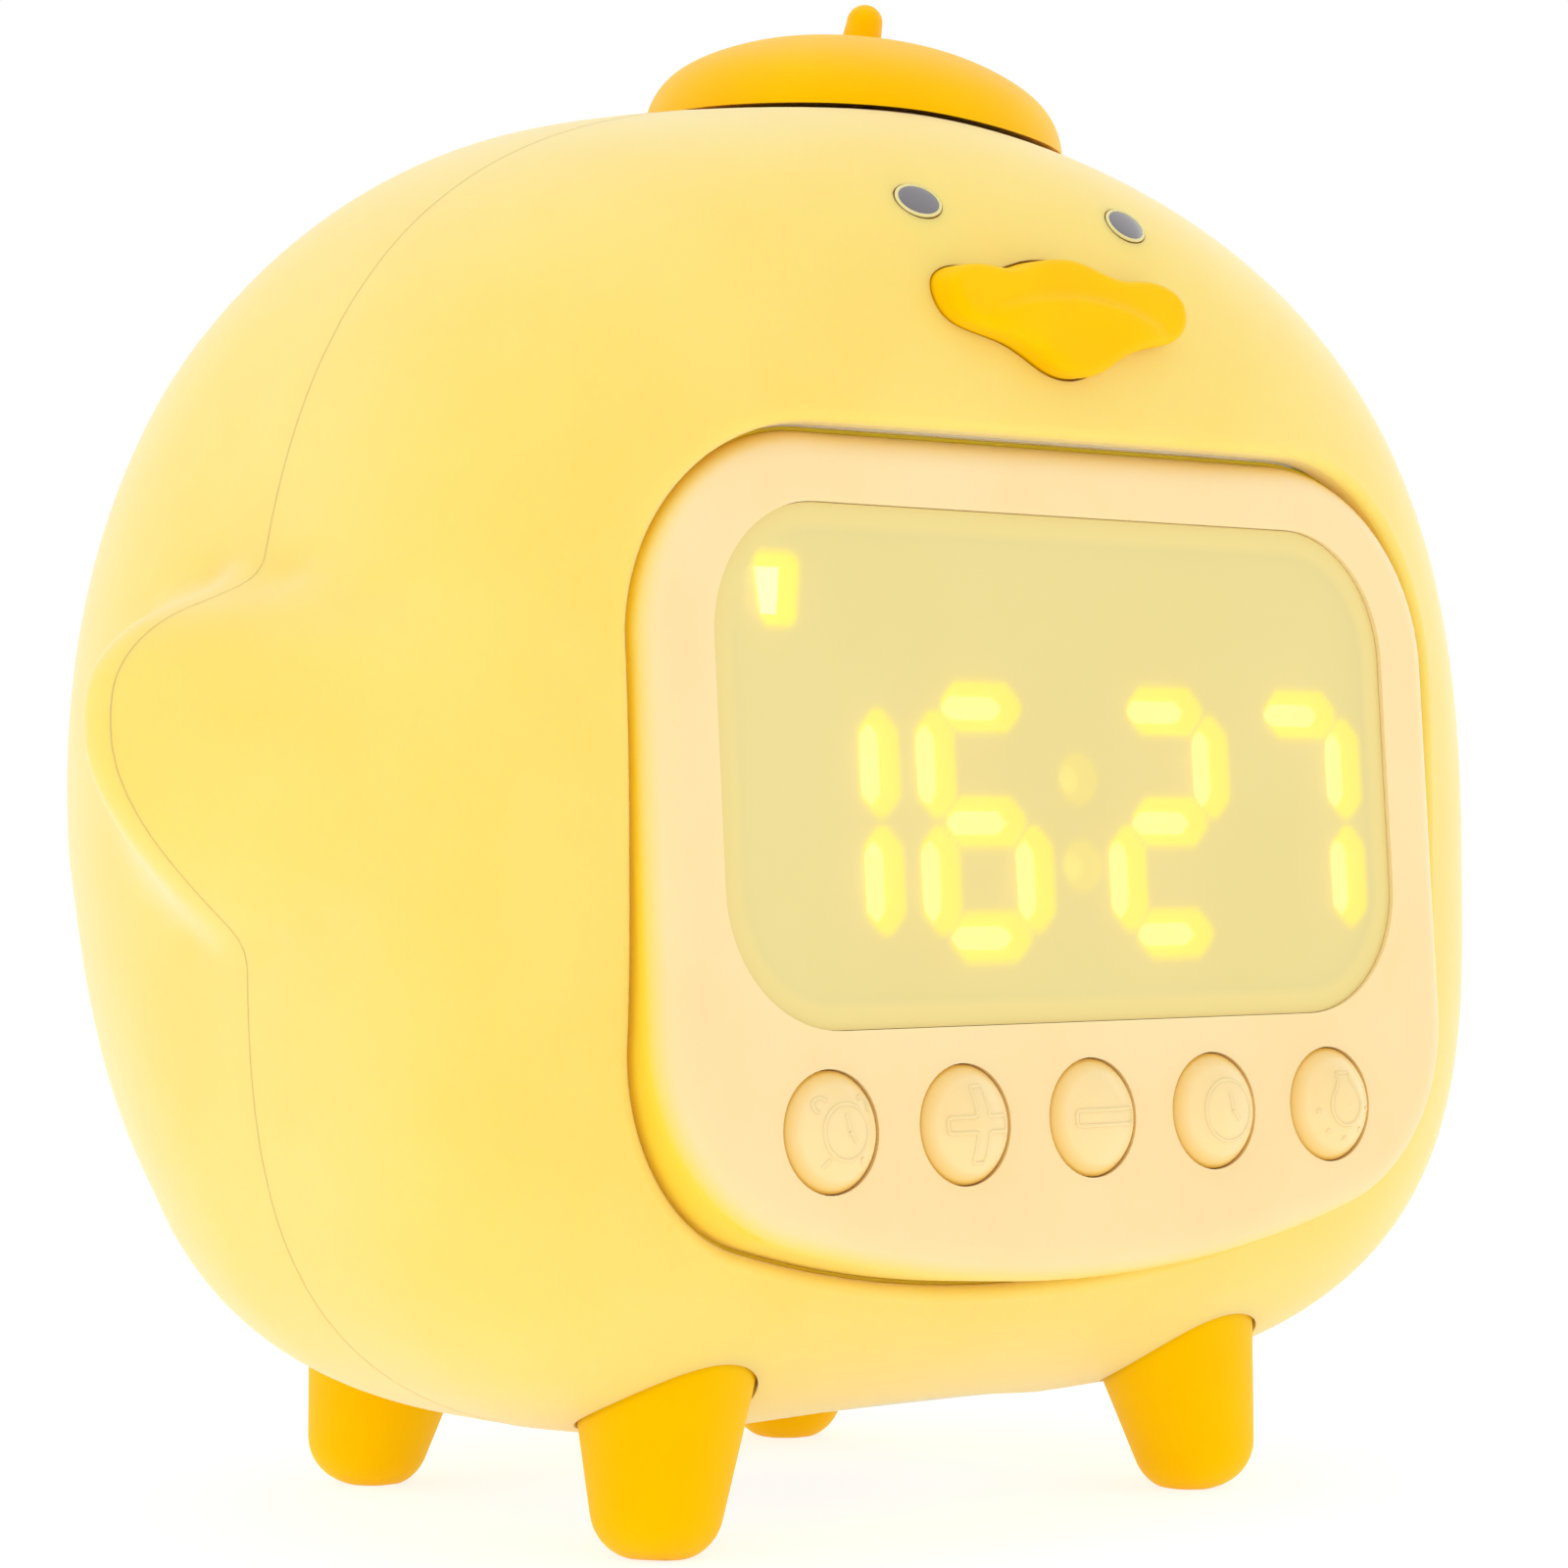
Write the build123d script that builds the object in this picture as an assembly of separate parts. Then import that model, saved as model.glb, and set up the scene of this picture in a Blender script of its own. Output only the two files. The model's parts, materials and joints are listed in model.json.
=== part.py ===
from build123d import *
import os
from functools import cache
from math import atan2, cos, degrees, hypot, radians, sin, sqrt

# A chick-shaped clock with a night light. Millimetres, +Z up, the face towards -Y.
# The origin is on the table, under the middle of the whole clock's width and depth.

# ---- the egg-shaped body: half widths, depths and heights
EGG_HALF_WIDTH = 60.5
EGG_FRONT_DEPTH = 40.75       # from the centre line forward
EGG_REAR_DEPTH = 55.2         # from the centre line back
EGG_BOTTOM_Z = 7.43
EGG_WIDEST_Z = 56.0
EGG_TOP_Z = 120.67
EGG_BOTTOM_SHIFT = -1.3       # the centre line moves forward towards the bottom
# powers of the rounded profiles: 2 is an ellipse, more is fuller
SIDE_POWER_UP = 2.66
SIDE_POWER_DOWN = 3.47
FRONT_POWER_UP = 3.95
FRONT_POWER_DOWN = 2.76
REAR_POWER_UP = 1.54
REAR_POWER_DOWN = 2.6
PLAN_POWER_FRONT = 5.0        # of the front half seen from above, at the widest level
PLAN_POWER_FRONT_FALL = 3.3   # what it loses up to the top
PLAN_POWER_FRONT_CURVE = 1.8
PLAN_POWER_FRONT_GAIN = 0.45  # what it gains down to the bottom
PLAN_POWER_REAR = 2.2
PLAN_POWER_REAR_RISE = 0.78
PLAN_POWER_REAR_LOW = 1.75
PLAN_POWER_REAR_HIGH = 2.70
POLE_TILT = 85                # degrees up to the last section, where a small flat closes the egg
SEAM_TURN = 120               # where the closed sections start, at the rear left
SECTION_POINTS = 36
WING_SECTION_POINTS = 160

# ---- walls of the body
SKIN_WALL = 2.4
SKIN_LIP = 0.8                # rounding of the skin's edge round the bezel
SKIN_GAP = 0.3                # soft skin to hard core, and to what passes through it
CORE_WALL = 2.0
INNER_GAP = 0.3               # core to the frame inside

# ---- stubby side wings, part of the skin: an upright rounded ridge that fades fore and aft
WING_AHEAD = 7.7              # of the centre line
WING_Z = 67.0
WING_OUT = 13.4
WING_RISE = 11.8
WING_DROP = 18.5
WING_CURVE_UP = 3.0           # power of the ridge's outline above its tip: more is squarer
WING_CURVE_DOWN = 2.0
WING_POWER = 1.27
WING_EDGE = 2.6               # roundness of the ridge seen from above
WING_FADE_AHEAD = 24.0
WING_FADE_BEHIND = 20.0
WING_FADE_POWER = 2.0
WING_NARROWING = 0.35         # how soon the ridge loses height away from its middle

# ---- the face plane: the lens's front leans back by this tilt
FACE_TILT = 4.08
FACE_Z = 58.0
FACE_TO_CENTRE = 40.75        # face plane to the egg's centre line, at FACE_Z

# ---- bezel, in the face plane (u to the right, v up, w outwards)
BEZEL_HALF_WIDTH = 44.2
BEZEL_TOP = 32.1
BEZEL_BOTTOM = -36.2
BEZEL_TOP_RADIUS = 17.5
BEZEL_LOW_RADIUS = 17.0
BEZEL_BOW_RADIUS = 119.0
BEZEL_EDGE_ROUND = 2.8
BEZEL_DEPTH = 12.0
BEZEL_PLATE = 3.2
BEZEL_WALL = 1.8
BEZEL_SKIN_GAP = 0.35
KEY_PLATE = 2.0               # bezel plate's thickness round the keys
KEY_BAY_MARGIN = 1.5          # from the window down to the thinner plate
COLLAR_WALL = 1.8
LEDGE_WIDTH = 6.5             # the seat behind the bezel, inwards from its outline
LEDGE_THICKNESS = 1.6

# ---- window, lens and digits
WINDOW_WIDTH = 75.1
WINDOW_BOTTOM = -15.31
WINDOW_TOP = 26.24
WINDOW_RADIUS = 11.0
WINDOW_LIP = 1.6
LENS_RECESS = 0.45
LENS_THICKNESS = 1.0
LENS_FIT = 0.05
GUIDE_GAP = 0.3
GUIDE_BEHIND_LENS = 0.15
GUIDE_DEPTH = 6.4
DIGIT_CENTRES = (-26.75, -10.43, 10.43, 26.75)
DIGIT_V = 1.04
DIGIT_SHIFT = 0.6
DIGIT_COLUMN = 10.33          # between a digit's two upright bar lines
DIGIT_HEIGHT = 18.6           # between the top and bottom bar lines
BAR_UP = 6.5
BAR_ACROSS = 6.6
BAR_STROKE = 1.9
BAR_DEPTH = 1.2
SEGMENT_LED_WIDTH = 1.6
SEGMENT_LED_HEIGHT = 0.8
COLON_RADIUS = 1.05
COLON_SPREAD = 7.14
INDICATOR_U = -31.3
INDICATOR_V = 19.2
INDICATOR_TOP_WIDTH = 2.5
INDICATOR_BOTTOM_WIDTH = 1.5
INDICATOR_HEIGHT = 3.7
SHOWN_TIME = ("1", "6", "2", "7")
DIGIT_BARS = {"1": "bc", "2": "abged", "6": "acdefg", "7": "abc"}

# ---- push keys
KEY_NAMES = ("key_alarm", "key_plus", "key_minus", "key_clock", "key_light")
KEY_PITCH = 14.03
KEY_V = -23.12
KEY_HOLE_RADIUS = 4.9
KEY_RADIUS = 4.8
KEY_DOME_RADIUS = 5.8
KEY_APEX = 2.2
KEY_TRAVEL = 0.6
KEY_FLANGE_RADIUS = 5.6
KEY_FLANGE = 1.15
KEY_FLANGE_GAP = 0.1
KEY_STEM_RADIUS = 1.4
SWITCH_GAP = 0.1              # left between a pressed key and its switch's plunger
SWITCH_SIZE = 6.0
SWITCH_HEIGHT = 3.5
PLUNGER_RADIUS = 1.6
PLUNGER_HEIGHT = 0.5
KEY_STEM = 1.05

# ---- boards and screws
BOARD = 1.6
BOARD_GAP = 0.6               # front board to the bezel's wall
SHORT_BOSSES = ((40.0, 10.0), (37.2, -20.0))
LONG_BOSSES = ((15.0, 28.6), (21.0, -30.8))
BOSS_RADIUS = 2.1
PILOT_RADIUS = 0.8
SCREW_RADIUS = 0.75
SCREW_HEAD_RADIUS = 1.5
SCREW_HEAD = 1.1
SCREW_LENGTH = 6.0
SCREW_HOLE_RADIUS = 1.0

# ---- core screws, from the rear, under the skin
CORE_SCREW_UPPER = (44.0, 84.0)
CORE_SCREW_LOWER = (48.0, 36.0)
CORE_BOSS_RADIUS = 4.4
CORE_HEAD_BORE = 3.1
CORE_HEAD_RADIUS = 2.8
CORE_HEAD = 2.0
CORE_SHANK_RADIUS = 1.45
CORE_SHANK_BORE = 1.7
CORE_PILOT = 1.5
CORE_PILOT_DEPTH = 14.0
CORE_SCREW_LENGTH = 16.0
CORE_SHOULDER = 6.0

# ---- chassis: an upright bulkhead with shelves
BULKHEAD = 2.4
BULKHEAD_BOTTOM_Z = 16.5
SPEAKER_SHELF = 2.2
SPEAKER_SHELF_HALF_WIDTH = 23.0
SPEAKER_SHELF_BEHIND = 17.0   # ends ahead of the rear feet's pads
SPEAKER_BAY_HALF_WIDTH = 17.8
SPEAKER_BAY_TOP_Z = 36.0
SLOT_WIDTH = 8.0
SLOT_HEIGHT = 6.0
SLOT_Z = 34.0
DISPLAY_SLOT_X = -24.0
BATTERY_SLOT_X = 37.0

# ---- speaker
SPEAKER_RADIUS = 16.0
SPEAKER_HEIGHT = 7.5
SPEAKER_MOUTH = 14.0
SPEAKER_AHEAD = 3.7
SPEAKER_MAGNET_RADIUS = 9.0
SPEAKER_FLANGE = 1.8
CONE_MARGIN = 1.5             # the paper cone's edge, inside the mouth
CONE_HUB = 4.0
CONE_DEPTH = 3.0
RING_WIDTH = 3.0
RING_THICKNESS = 1.6
RING_OVERHANG = 0.6
RING_SLACK = 0.15
RING_EAR = 6.5
RING_EAR_WIDTH = 7.0

# ---- battery: one 18 by 65 cell
CELL_RADIUS = 9.2
CELL_LENGTH = 65.0
CELL_AHEAD = 11.3
CELL_Z = 50.0
CELL_GAP = 0.3
CELL_NUB_RADIUS = 3.0
CELL_NUB = 0.8
CELL_EDGE = 0.6
HOLDER_END = 4.5
HOLDER_WALL = 1.5
HOLDER_ABOVE_AXIS = 3.0       # how far its sides reach past the cell's axis

# ---- main board and charging inlet
MAIN_BOARD_HALF_WIDTH = 26.0
MAIN_BOARD_FRONT = 7.5        # behind the centre line
MAIN_BOARD_EGG_INSET = 6.0
PORT_Z = 32.0
PORT_WIDTH = 13.0
PORT_HEIGHT = 10.0
PORT_CORNER = 2.5
PORT_MOUTH_WIDTH = 10.2
PORT_MOUTH_HEIGHT = 7.2
PORT_MOUTH_CORNER = 1.5
PORT_DEPTH = 7.5
PORT_FLANGE = 1.2
PORT_FLANGE_LIP = 1.6
PORT_SEAT_GAP = 0.1           # flange to the core's inside
BOARD_TONGUE = 9.2            # width of the board's tongue under the socket
SOCKET_WIDTH = 8.94
SOCKET_HEIGHT = 3.26
SOCKET_DEPTH = 7.3
SOCKET_WALL = 0.35
SOCKET_BACK = 1.2             # thickness of its closed end
SOCKET_END_FLAT = 0.1         # left of its height where the ends round off
SOCKET_BEHIND = 3.2           # socket's mouth, in from the frame's outer face
TONGUE_WIDTH = 6.7
TONGUE_HEIGHT = 0.7
TONGUE_BEHIND_MOUTH = 0.8
RAIL_WIDTH = 5.0
RAIL_HEIGHT = 2.2
RAIL_LENGTH = 14.0

# ---- night light
LIGHT_BOARD_WIDTH = 40.0
LIGHT_BOARD_HEIGHT = 24.0
LIGHT_BOARD_Z = 80.0
LIGHT_STANDOFF = 6.0
STANDOFF_RADIUS = 2.4
STANDOFF_INSET = 4.0          # from the board's edges
NIGHT_LED = 3.5
NIGHT_LED_HEIGHT = 1.4
NIGHT_LED_ACROSS = 7.0        # from one column to the next
NIGHT_LED_ROW = 4.0           # of each row from the board's middle
DIFFUSER_DEPTH = 9.0
DIFFUSER_WALL = 1.4
DIFFUSER_ROUND = 4.0
DIFFUSER_SIDE = 7.0           # clear of the board's ends, for the screws
DIFFUSER_EDGE = 1.0           # clear of its long edges

# ---- beret, tilted on the head
BERET_X = 6.5
BERET_AHEAD = 5.2
BERET_Z = 120.5
BERET_TILT = 5.1              # degrees from upright
BERET_TILT_TURN = -40.0       # towards this azimuth, from +X
BERET_RADIUS = 18.6
BERET_DOME = 7.75
BERET_WIDEST = -0.8           # level of its widest place
BERET_RIM_DROP = 7.0          # of the skirt, which the skin's own shape cuts short
BERET_RIM_CURL = 2.2          # how far the skirt comes in
BERET_GAP = 0.4               # over the skin at rest
BERET_TRAVEL = 0.3
STALK_HEIGHT = 3.6
STALK_RADIUS = 2.0
STALK_TIP_RADIUS = 1.6
STALK_ASIDE = -0.35           # of the beret's own axis
NECK_RADIUS = 9.0
NECK_GAP = 0.35
NECK_WALL = 2.0
NECK_LENGTH = 7.5
RETAINER_RADIUS = 11.5
RETAINER_THICKNESS = 2.0
RETAINER_GAP = 0.4
PUSHER_RADIUS = 2.2
PUSHER_LENGTH = 10.0
PUSHER_GAP = 0.05             # left between the pressed beret and its switch
TOP_BOARD_WIDTH = 26.0
TOP_BOARD_DEPTH = 20.0

# ---- face
EYE_X = 11.74
EYE_Z = 109.56
EYE_HALF_WIDTH = 2.2
EYE_HALF_HEIGHT = 1.65
EYE_THICKNESS = 1.0
EYE_GAP = 0.2
BEAK_RIGHT_HALF = ((0.0, 105.3), (3.2, 104.8), (6.0, 104.05), (9.0, 104.15), (11.6, 103.8),
                   (13.1, 102.7), (13.3, 101.3), (12.5, 99.8), (10.4, 98.8), (6.6, 97.9),
                   (4.4, 96.9), (2.5, 95.9), (0.0, 95.4))
BEAK_RISE = 2.4
BEAK_ROUND = 0.9
BEAK_SEAT = 0.9
BEAK_GAP = 0.2

# ---- feet
FOOT_FRONT_X = 31.1
FOOT_FRONT_AHEAD = 24.1
FOOT_REAR_X = 25.0
FOOT_REAR_BEHIND = 26.2
FOOT_SPLAY = 11.5
FOOT_END_RADIUS = 4.7
FOOT_TAPER = 0.19
FOOT_BLANK = 26.0
FOOT_ROUND = 4.2
FOOT_FLAT = 0.15
FOOT_PAD_RADIUS = 4.5
FOOT_PAD = 2.0
FOOT_PAD_ABOVE_WALL = 0.6     # where a pad's own height is counted from
FOOT_SCREW_RADIUS = 1.4
FOOT_SCREW_LENGTH = 9.0
FOOT_PILOT_GAP = 0.05
FOOT_SCREW_HEAD_RADIUS = 2.6
FOOT_SCREW_HEAD = 1.8

# ---- base cover
COVER_HALF_WIDTH = 28.0
COVER_HALF_DEPTH = 19.0
COVER_INSET = 0.2
COVER_WALL = 2.4
COVER_SEAT = 4.0
GRILLE_RADIUS = 0.9
GRILLE_RINGS = 3
GRILLE_STEP = 3.6

WIRE_RADIUS = 0.8

# ---- places that follow from the sizes above
_tilt = radians(FACE_TILT)
FRONT_REACH = KEY_APEX * cos(_tilt) - KEY_V * sin(_tilt)
FACE_Y = FRONT_REACH - (FRONT_REACH + FACE_TO_CENTRE + EGG_REAR_DEPTH) / 2
EGG_Y = FACE_Y + FACE_TO_CENTRE
CORE_OUTER = SKIN_WALL + SKIN_GAP
CORE_INNER = CORE_OUTER + CORE_WALL
FRAME_INSET = CORE_INNER + INNER_GAP
BOSS_INSET = CORE_OUTER + CORE_WALL / 2   # bosses end half-way into the core's wall
FACE = Plane(origin=(0, FACE_Y, FACE_Z), x_dir=(1, 0, 0), z_dir=(0, -cos(_tilt), sin(_tilt)))
LENS_BACK = -LENS_RECESS - LENS_THICKNESS
GUIDE_FRONT = LENS_BACK - GUIDE_BEHIND_LENS
GUIDE_BACK = GUIDE_FRONT - GUIDE_DEPTH
KEY_BACK = -KEY_PLATE - KEY_FLANGE_GAP - KEY_FLANGE
PLUNGER_TOP = KEY_BACK - KEY_STEM - KEY_TRAVEL - SWITCH_GAP
FRONT_BOARD_FACE = PLUNGER_TOP - PLUNGER_HEIGHT - SWITCH_HEIGHT
SOCKET_Z = PORT_Z - SOCKET_HEIGHT / 2
_lean = radians(BERET_TILT)
_turn = radians(BERET_TILT_TURN)
BERET_UP = Vector(sin(_lean) * cos(_turn), sin(_lean) * sin(_turn), cos(_lean))
BERET = Plane(origin=(BERET_X, EGG_Y - BERET_AHEAD, BERET_Z), x_dir=(cos(_turn), sin(_turn), 0),
              z_dir=BERET_UP)
TOP_SWITCH_FACE = -PUSHER_LENGTH - BERET_TRAVEL - PUSHER_GAP
TOP_BOARD_FACE = TOP_SWITCH_FACE - PLUNGER_HEIGHT - SWITCH_HEIGHT


# ---------------------------------------------------------------- the egg
def fall(power, level):
    """Share of its full reach that a profile keeps, from level 0 (widest) to 1 (pole)."""
    return (1 - abs(level) ** power) ** (1 / power)


def egg_profile(z, inset=0.0):
    """Half width, front depth, rear depth, centre Y and the two plan powers at a height."""
    upper = z >= EGG_WIDEST_Z
    reach = (EGG_TOP_Z - EGG_WIDEST_Z if upper else EGG_WIDEST_Z - EGG_BOTTOM_Z) - inset
    level = min(abs(z - EGG_WIDEST_Z) / reach, 0.99999)
    side = fall(SIDE_POWER_UP if upper else SIDE_POWER_DOWN, level)
    front = fall(FRONT_POWER_UP if upper else FRONT_POWER_DOWN, level)
    rear = fall(REAR_POWER_UP if upper else REAR_POWER_DOWN, level)
    centre = EGG_Y + (0 if upper else EGG_BOTTOM_SHIFT * level ** 2)
    if upper:
        plan_front = PLAN_POWER_FRONT - PLAN_POWER_FRONT_FALL * level ** PLAN_POWER_FRONT_CURVE
    else:
        plan_front = PLAN_POWER_FRONT + PLAN_POWER_FRONT_GAIN * level
    signed = level if upper else -level
    plan_rear = PLAN_POWER_REAR + PLAN_POWER_REAR_RISE * signed
    plan_rear = min(max(plan_rear, PLAN_POWER_REAR_LOW), PLAN_POWER_REAR_HIGH)
    return ((EGG_HALF_WIDTH - inset) * side, (EGG_FRONT_DEPTH - inset) * front,
            (EGG_REAR_DEPTH - inset) * rear, centre, plan_front, plan_rear)


def wing_rise(y, z):
    """How far a wing stands out of the egg's side at a place on that side."""
    behind = y - EGG_Y + WING_AHEAD
    away = hypot(behind, WING_EDGE) - WING_EDGE
    share = max(1 - away / (WING_FADE_BEHIND if behind > 0 else WING_FADE_AHEAD), 0.01)
    upper = z > WING_Z
    reach = (WING_RISE if upper else WING_DROP) * share ** WING_NARROWING
    level = min(abs(z - WING_Z) / reach, 1)
    ridge = (1 - level ** (WING_CURVE_UP if upper else WING_CURVE_DOWN)) ** WING_POWER
    return WING_OUT * ridge * share ** WING_FADE_POWER


def egg_wire(tilt, inset, wings):
    """One level section of the egg, as a closed smooth curve."""
    level = sin(radians(tilt))
    reach = (EGG_TOP_Z - EGG_WIDEST_Z if level > 0 else EGG_WIDEST_Z - EGG_BOTTOM_Z) - inset
    z = EGG_WIDEST_Z + level * reach
    half, front, rear, centre, plan_front, plan_rear = egg_profile(z, inset)
    count = WING_SECTION_POINTS if wings else SECTION_POINTS
    points = []
    for i in range(count):
        turn = radians(SEAM_TURN + 360 * i / count)
        across, along = cos(turn), sin(turn)
        depth, power = (rear, plan_rear) if along > 0 else (front, plan_front)
        radius = (abs(across) ** power + abs(along) ** power) ** (-1 / power)
        x = half * across * radius
        y = centre + depth * along * radius
        if wings:
            x += wing_rise(y, z) * (1 if x > 0 else -1)
        points.append(Vector(x, y, z))
    shares = [i / count for i in range(count + 1)]
    return Wire([Edge.make_spline(points, periodic=True, parameters=shares)])


@cache
def egg(inset=0.0, wings=False):
    """The egg-shaped solid, drawn in by the inset."""
    tilts = set(range(-POLE_TILT * 10, POLE_TILT * 10 + 1, 50 if wings else 100))
    if wings:
        tilts |= set(range(-300, 301, 25))
    return Solid.make_loft([egg_wire(t / 10, inset, wings) for t in sorted(tilts)])


def egg_front_y(x, z, inset=0.0):
    """Y of the egg's front surface at a place on the face."""
    half, front, _, centre, power, _ = egg_profile(z, inset)
    return centre - front * (1 - (abs(x) / half) ** power) ** (1 / power)


def egg_front_normal(x, z):
    """Outward direction of the egg's front surface."""
    step = 0.01
    slope_x = (egg_front_y(x + step, z) - egg_front_y(x - step, z)) / (2 * step)
    slope_z = (egg_front_y(x, z + step) - egg_front_y(x, z - step)) / (2 * step)
    return Vector(slope_x, -1, slope_z).normalized()


def in_egg(point, inset):
    """Whether a point lies inside the egg drawn in by the inset."""
    if not EGG_BOTTOM_Z + inset < point.Z < EGG_TOP_Z - inset:
        return False
    half, front, rear, centre, plan_front, plan_rear = egg_profile(point.Z, inset)
    ahead = point.Y < centre
    depth, power = (front, plan_front) if ahead else (rear, plan_rear)
    return (abs(point.X) / half) ** power + (abs(point.Y - centre) / depth) ** power < 1


def way_in(start, direction, inset):
    """Distance from a point outside the egg, along a direction, to its surface."""
    far = next(step for step in range(1, 200) if in_egg(start + direction * step, inset))
    near = far - 1.0
    far = float(far)
    for _ in range(30):
        middle = (near + far) / 2
        near, far = (near, middle) if in_egg(start + direction * middle, inset) else (middle, far)
    return far


# ---------------------------------------------------------------- helpers
def prism(face, w_from, w_to):
    """A face drawn in the face plane, made solid between two distances from it."""
    return FACE * Pos(0, 0, w_from) * extrude(face, amount=w_to - w_from, dir=(0, 0, 1))


def disc(u, v, radius, w_from, w_to):
    """A round bar square to the face plane."""
    return prism(Pos(u, v) * Circle(radius), w_from, w_to)


def block(x, y, z):
    """A box given by its lowest and highest X, Y and Z."""
    size = (x[1] - x[0], y[1] - y[0], z[1] - z[0])
    return Pos((x[0] + x[1]) / 2, (y[0] + y[1]) / 2, (z[0] + z[1]) / 2) * Box(*size)


def rod(start, direction, length, radius):
    """A round bar from a point along a direction."""
    return Solid.make_cylinder(radius, length, Plane(origin=start, z_dir=direction))


def pairs(places):
    """Each place and its mirror image across the middle."""
    return [(sign * u, v) for u, v in places for sign in (-1, 1)]


def one(shape):
    """The single solid of a shape."""
    return shape.solids()[0] if len(shape.solids()) == 1 else shape


# ---------------------------------------------------------------- outlines in the face plane
def bezel_outline(grow=0.0):
    """The bezel's outline: flat top, straight sides, bowed bottom, round corners."""
    half = BEZEL_HALF_WIDTH + grow
    top = BEZEL_TOP + grow
    top_radius = BEZEL_TOP_RADIUS + grow
    bow_y = BEZEL_BOTTOM + BEZEL_BOW_RADIUS
    corner_x = BEZEL_HALF_WIDTH - BEZEL_LOW_RADIUS
    corner_y = bow_y - sqrt((BEZEL_BOW_RADIUS - BEZEL_LOW_RADIUS) ** 2 - corner_x ** 2)
    lean = degrees(atan2(corner_x, bow_y - corner_y))
    top_x = half - top_radius
    top_y = top - top_radius
    edges = [
        CenterArc((0, bow_y), BEZEL_BOW_RADIUS + grow, 270 - lean, 2 * lean),
        CenterArc((corner_x, corner_y), BEZEL_LOW_RADIUS + grow, 270 + lean, 90 - lean),
        Line((half, corner_y), (half, top_y)),
        CenterArc((top_x, top_y), top_radius, 0, 90),
        Line((top_x, top), (-top_x, top)),
        CenterArc((-top_x, top_y), top_radius, 90, 90),
        Line((-half, top_y), (-half, corner_y)),
        CenterArc((-corner_x, corner_y), BEZEL_LOW_RADIUS + grow, 180, 90 - lean),
    ]
    return make_face(edges)


def window_outline(grow=0.0):
    """The window's rounded rectangle."""
    height = WINDOW_TOP - WINDOW_BOTTOM
    middle = (WINDOW_TOP + WINDOW_BOTTOM) / 2
    return Pos(0, middle) * RectangleRounded(WINDOW_WIDTH + 2 * grow, height + 2 * grow,
                                             WINDOW_RADIUS + grow)


def key_places():
    return [((i - (len(KEY_NAMES) - 1) / 2) * KEY_PITCH, KEY_V) for i in range(len(KEY_NAMES))]


def bar(u, v, length, upright):
    """A display bar with pointed ends."""
    half = length / 2
    flat = half - BAR_STROKE / 2
    side = BAR_STROKE / 2
    points = [(-half, 0), (-flat, side), (flat, side), (half, 0), (flat, -side), (-flat, -side)]
    if upright:
        points = [(b, a) for a, b in points]
    return Pos(u, v) * make_face(Polyline(*points, close=True))


def digit_bars(index):
    """The seven bars of one digit, by their usual letters."""
    u = DIGIT_CENTRES[index] + DIGIT_SHIFT
    half_width = DIGIT_COLUMN / 2
    half_height = DIGIT_HEIGHT / 2
    quarter = half_height / 2
    return {
        "a": bar(u, DIGIT_V + half_height, BAR_ACROSS, False),
        "b": bar(u + half_width, DIGIT_V + quarter, BAR_UP, True),
        "c": bar(u + half_width, DIGIT_V - quarter, BAR_UP, True),
        "d": bar(u, DIGIT_V - half_height, BAR_ACROSS, False),
        "e": bar(u - half_width, DIGIT_V - quarter, BAR_UP, True),
        "f": bar(u - half_width, DIGIT_V + quarter, BAR_UP, True),
        "g": bar(u, DIGIT_V, BAR_ACROSS, False),
    }


def shown_bars(lit):
    """The bars that are lit, or those that are dark, for the shown time."""
    faces = []
    for index, figure in enumerate(SHOWN_TIME):
        for letter, face in digit_bars(index).items():
            if (letter in DIGIT_BARS[figure]) == lit:
                faces.append(face)
    return faces


def colon_faces():
    return [Pos(DIGIT_SHIFT, DIGIT_V + side * COLON_SPREAD / 2) * Circle(COLON_RADIUS)
            for side in (-1, 1)]


def indicator_face():
    top = INDICATOR_HEIGHT / 2
    points = [(-INDICATOR_TOP_WIDTH / 2, top), (INDICATOR_TOP_WIDTH / 2, top),
              (INDICATOR_BOTTOM_WIDTH / 2, -top), (-INDICATOR_BOTTOM_WIDTH / 2, -top)]
    return Pos(INDICATOR_U + DIGIT_SHIFT, INDICATOR_V) * make_face(Polyline(*points, close=True))


# ---------------------------------------------------------------- display and keys
def display_bezel():
    """The hard frame with its skirt, key holes, lens recess and screw bosses."""
    body = prism(bezel_outline(), -BEZEL_DEPTH, 0)
    front = body.faces().sort_by(Axis(FACE.origin, FACE.z_dir))[-1]
    body = fillet(front.edges(), BEZEL_EDGE_ROUND)
    body -= prism(bezel_outline(-BEZEL_WALL), -BEZEL_DEPTH, -BEZEL_PLATE)
    key_bay = Pos(0, KEY_V) * Rectangle(2 * BEZEL_HALF_WIDTH, 2 * (WINDOW_BOTTOM - KEY_V - KEY_BAY_MARGIN))
    body -= prism(key_bay & bezel_outline(-BEZEL_WALL), -BEZEL_PLATE, -KEY_PLATE)
    for u, v in pairs(SHORT_BOSSES):
        body += disc(u, v, BOSS_RADIUS, FRONT_BOARD_FACE, -KEY_PLATE)
        body -= disc(u, v, PILOT_RADIUS, FRONT_BOARD_FACE, -BEZEL_PLATE - 1)
    for u, v in pairs(LONG_BOSSES):
        body += disc(u, v, BOSS_RADIUS, -BEZEL_DEPTH, -KEY_PLATE)
        body -= disc(u, v, PILOT_RADIUS, -BEZEL_DEPTH, -BEZEL_PLATE - 1)
    body -= prism(window_outline(), LENS_BACK, 1)
    body -= prism(window_outline(-WINDOW_LIP), -BEZEL_DEPTH, 1)
    for u, v in key_places():
        body -= disc(u, v, KEY_HOLE_RADIUS, -BEZEL_DEPTH, 1)
    return one(body)


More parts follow.
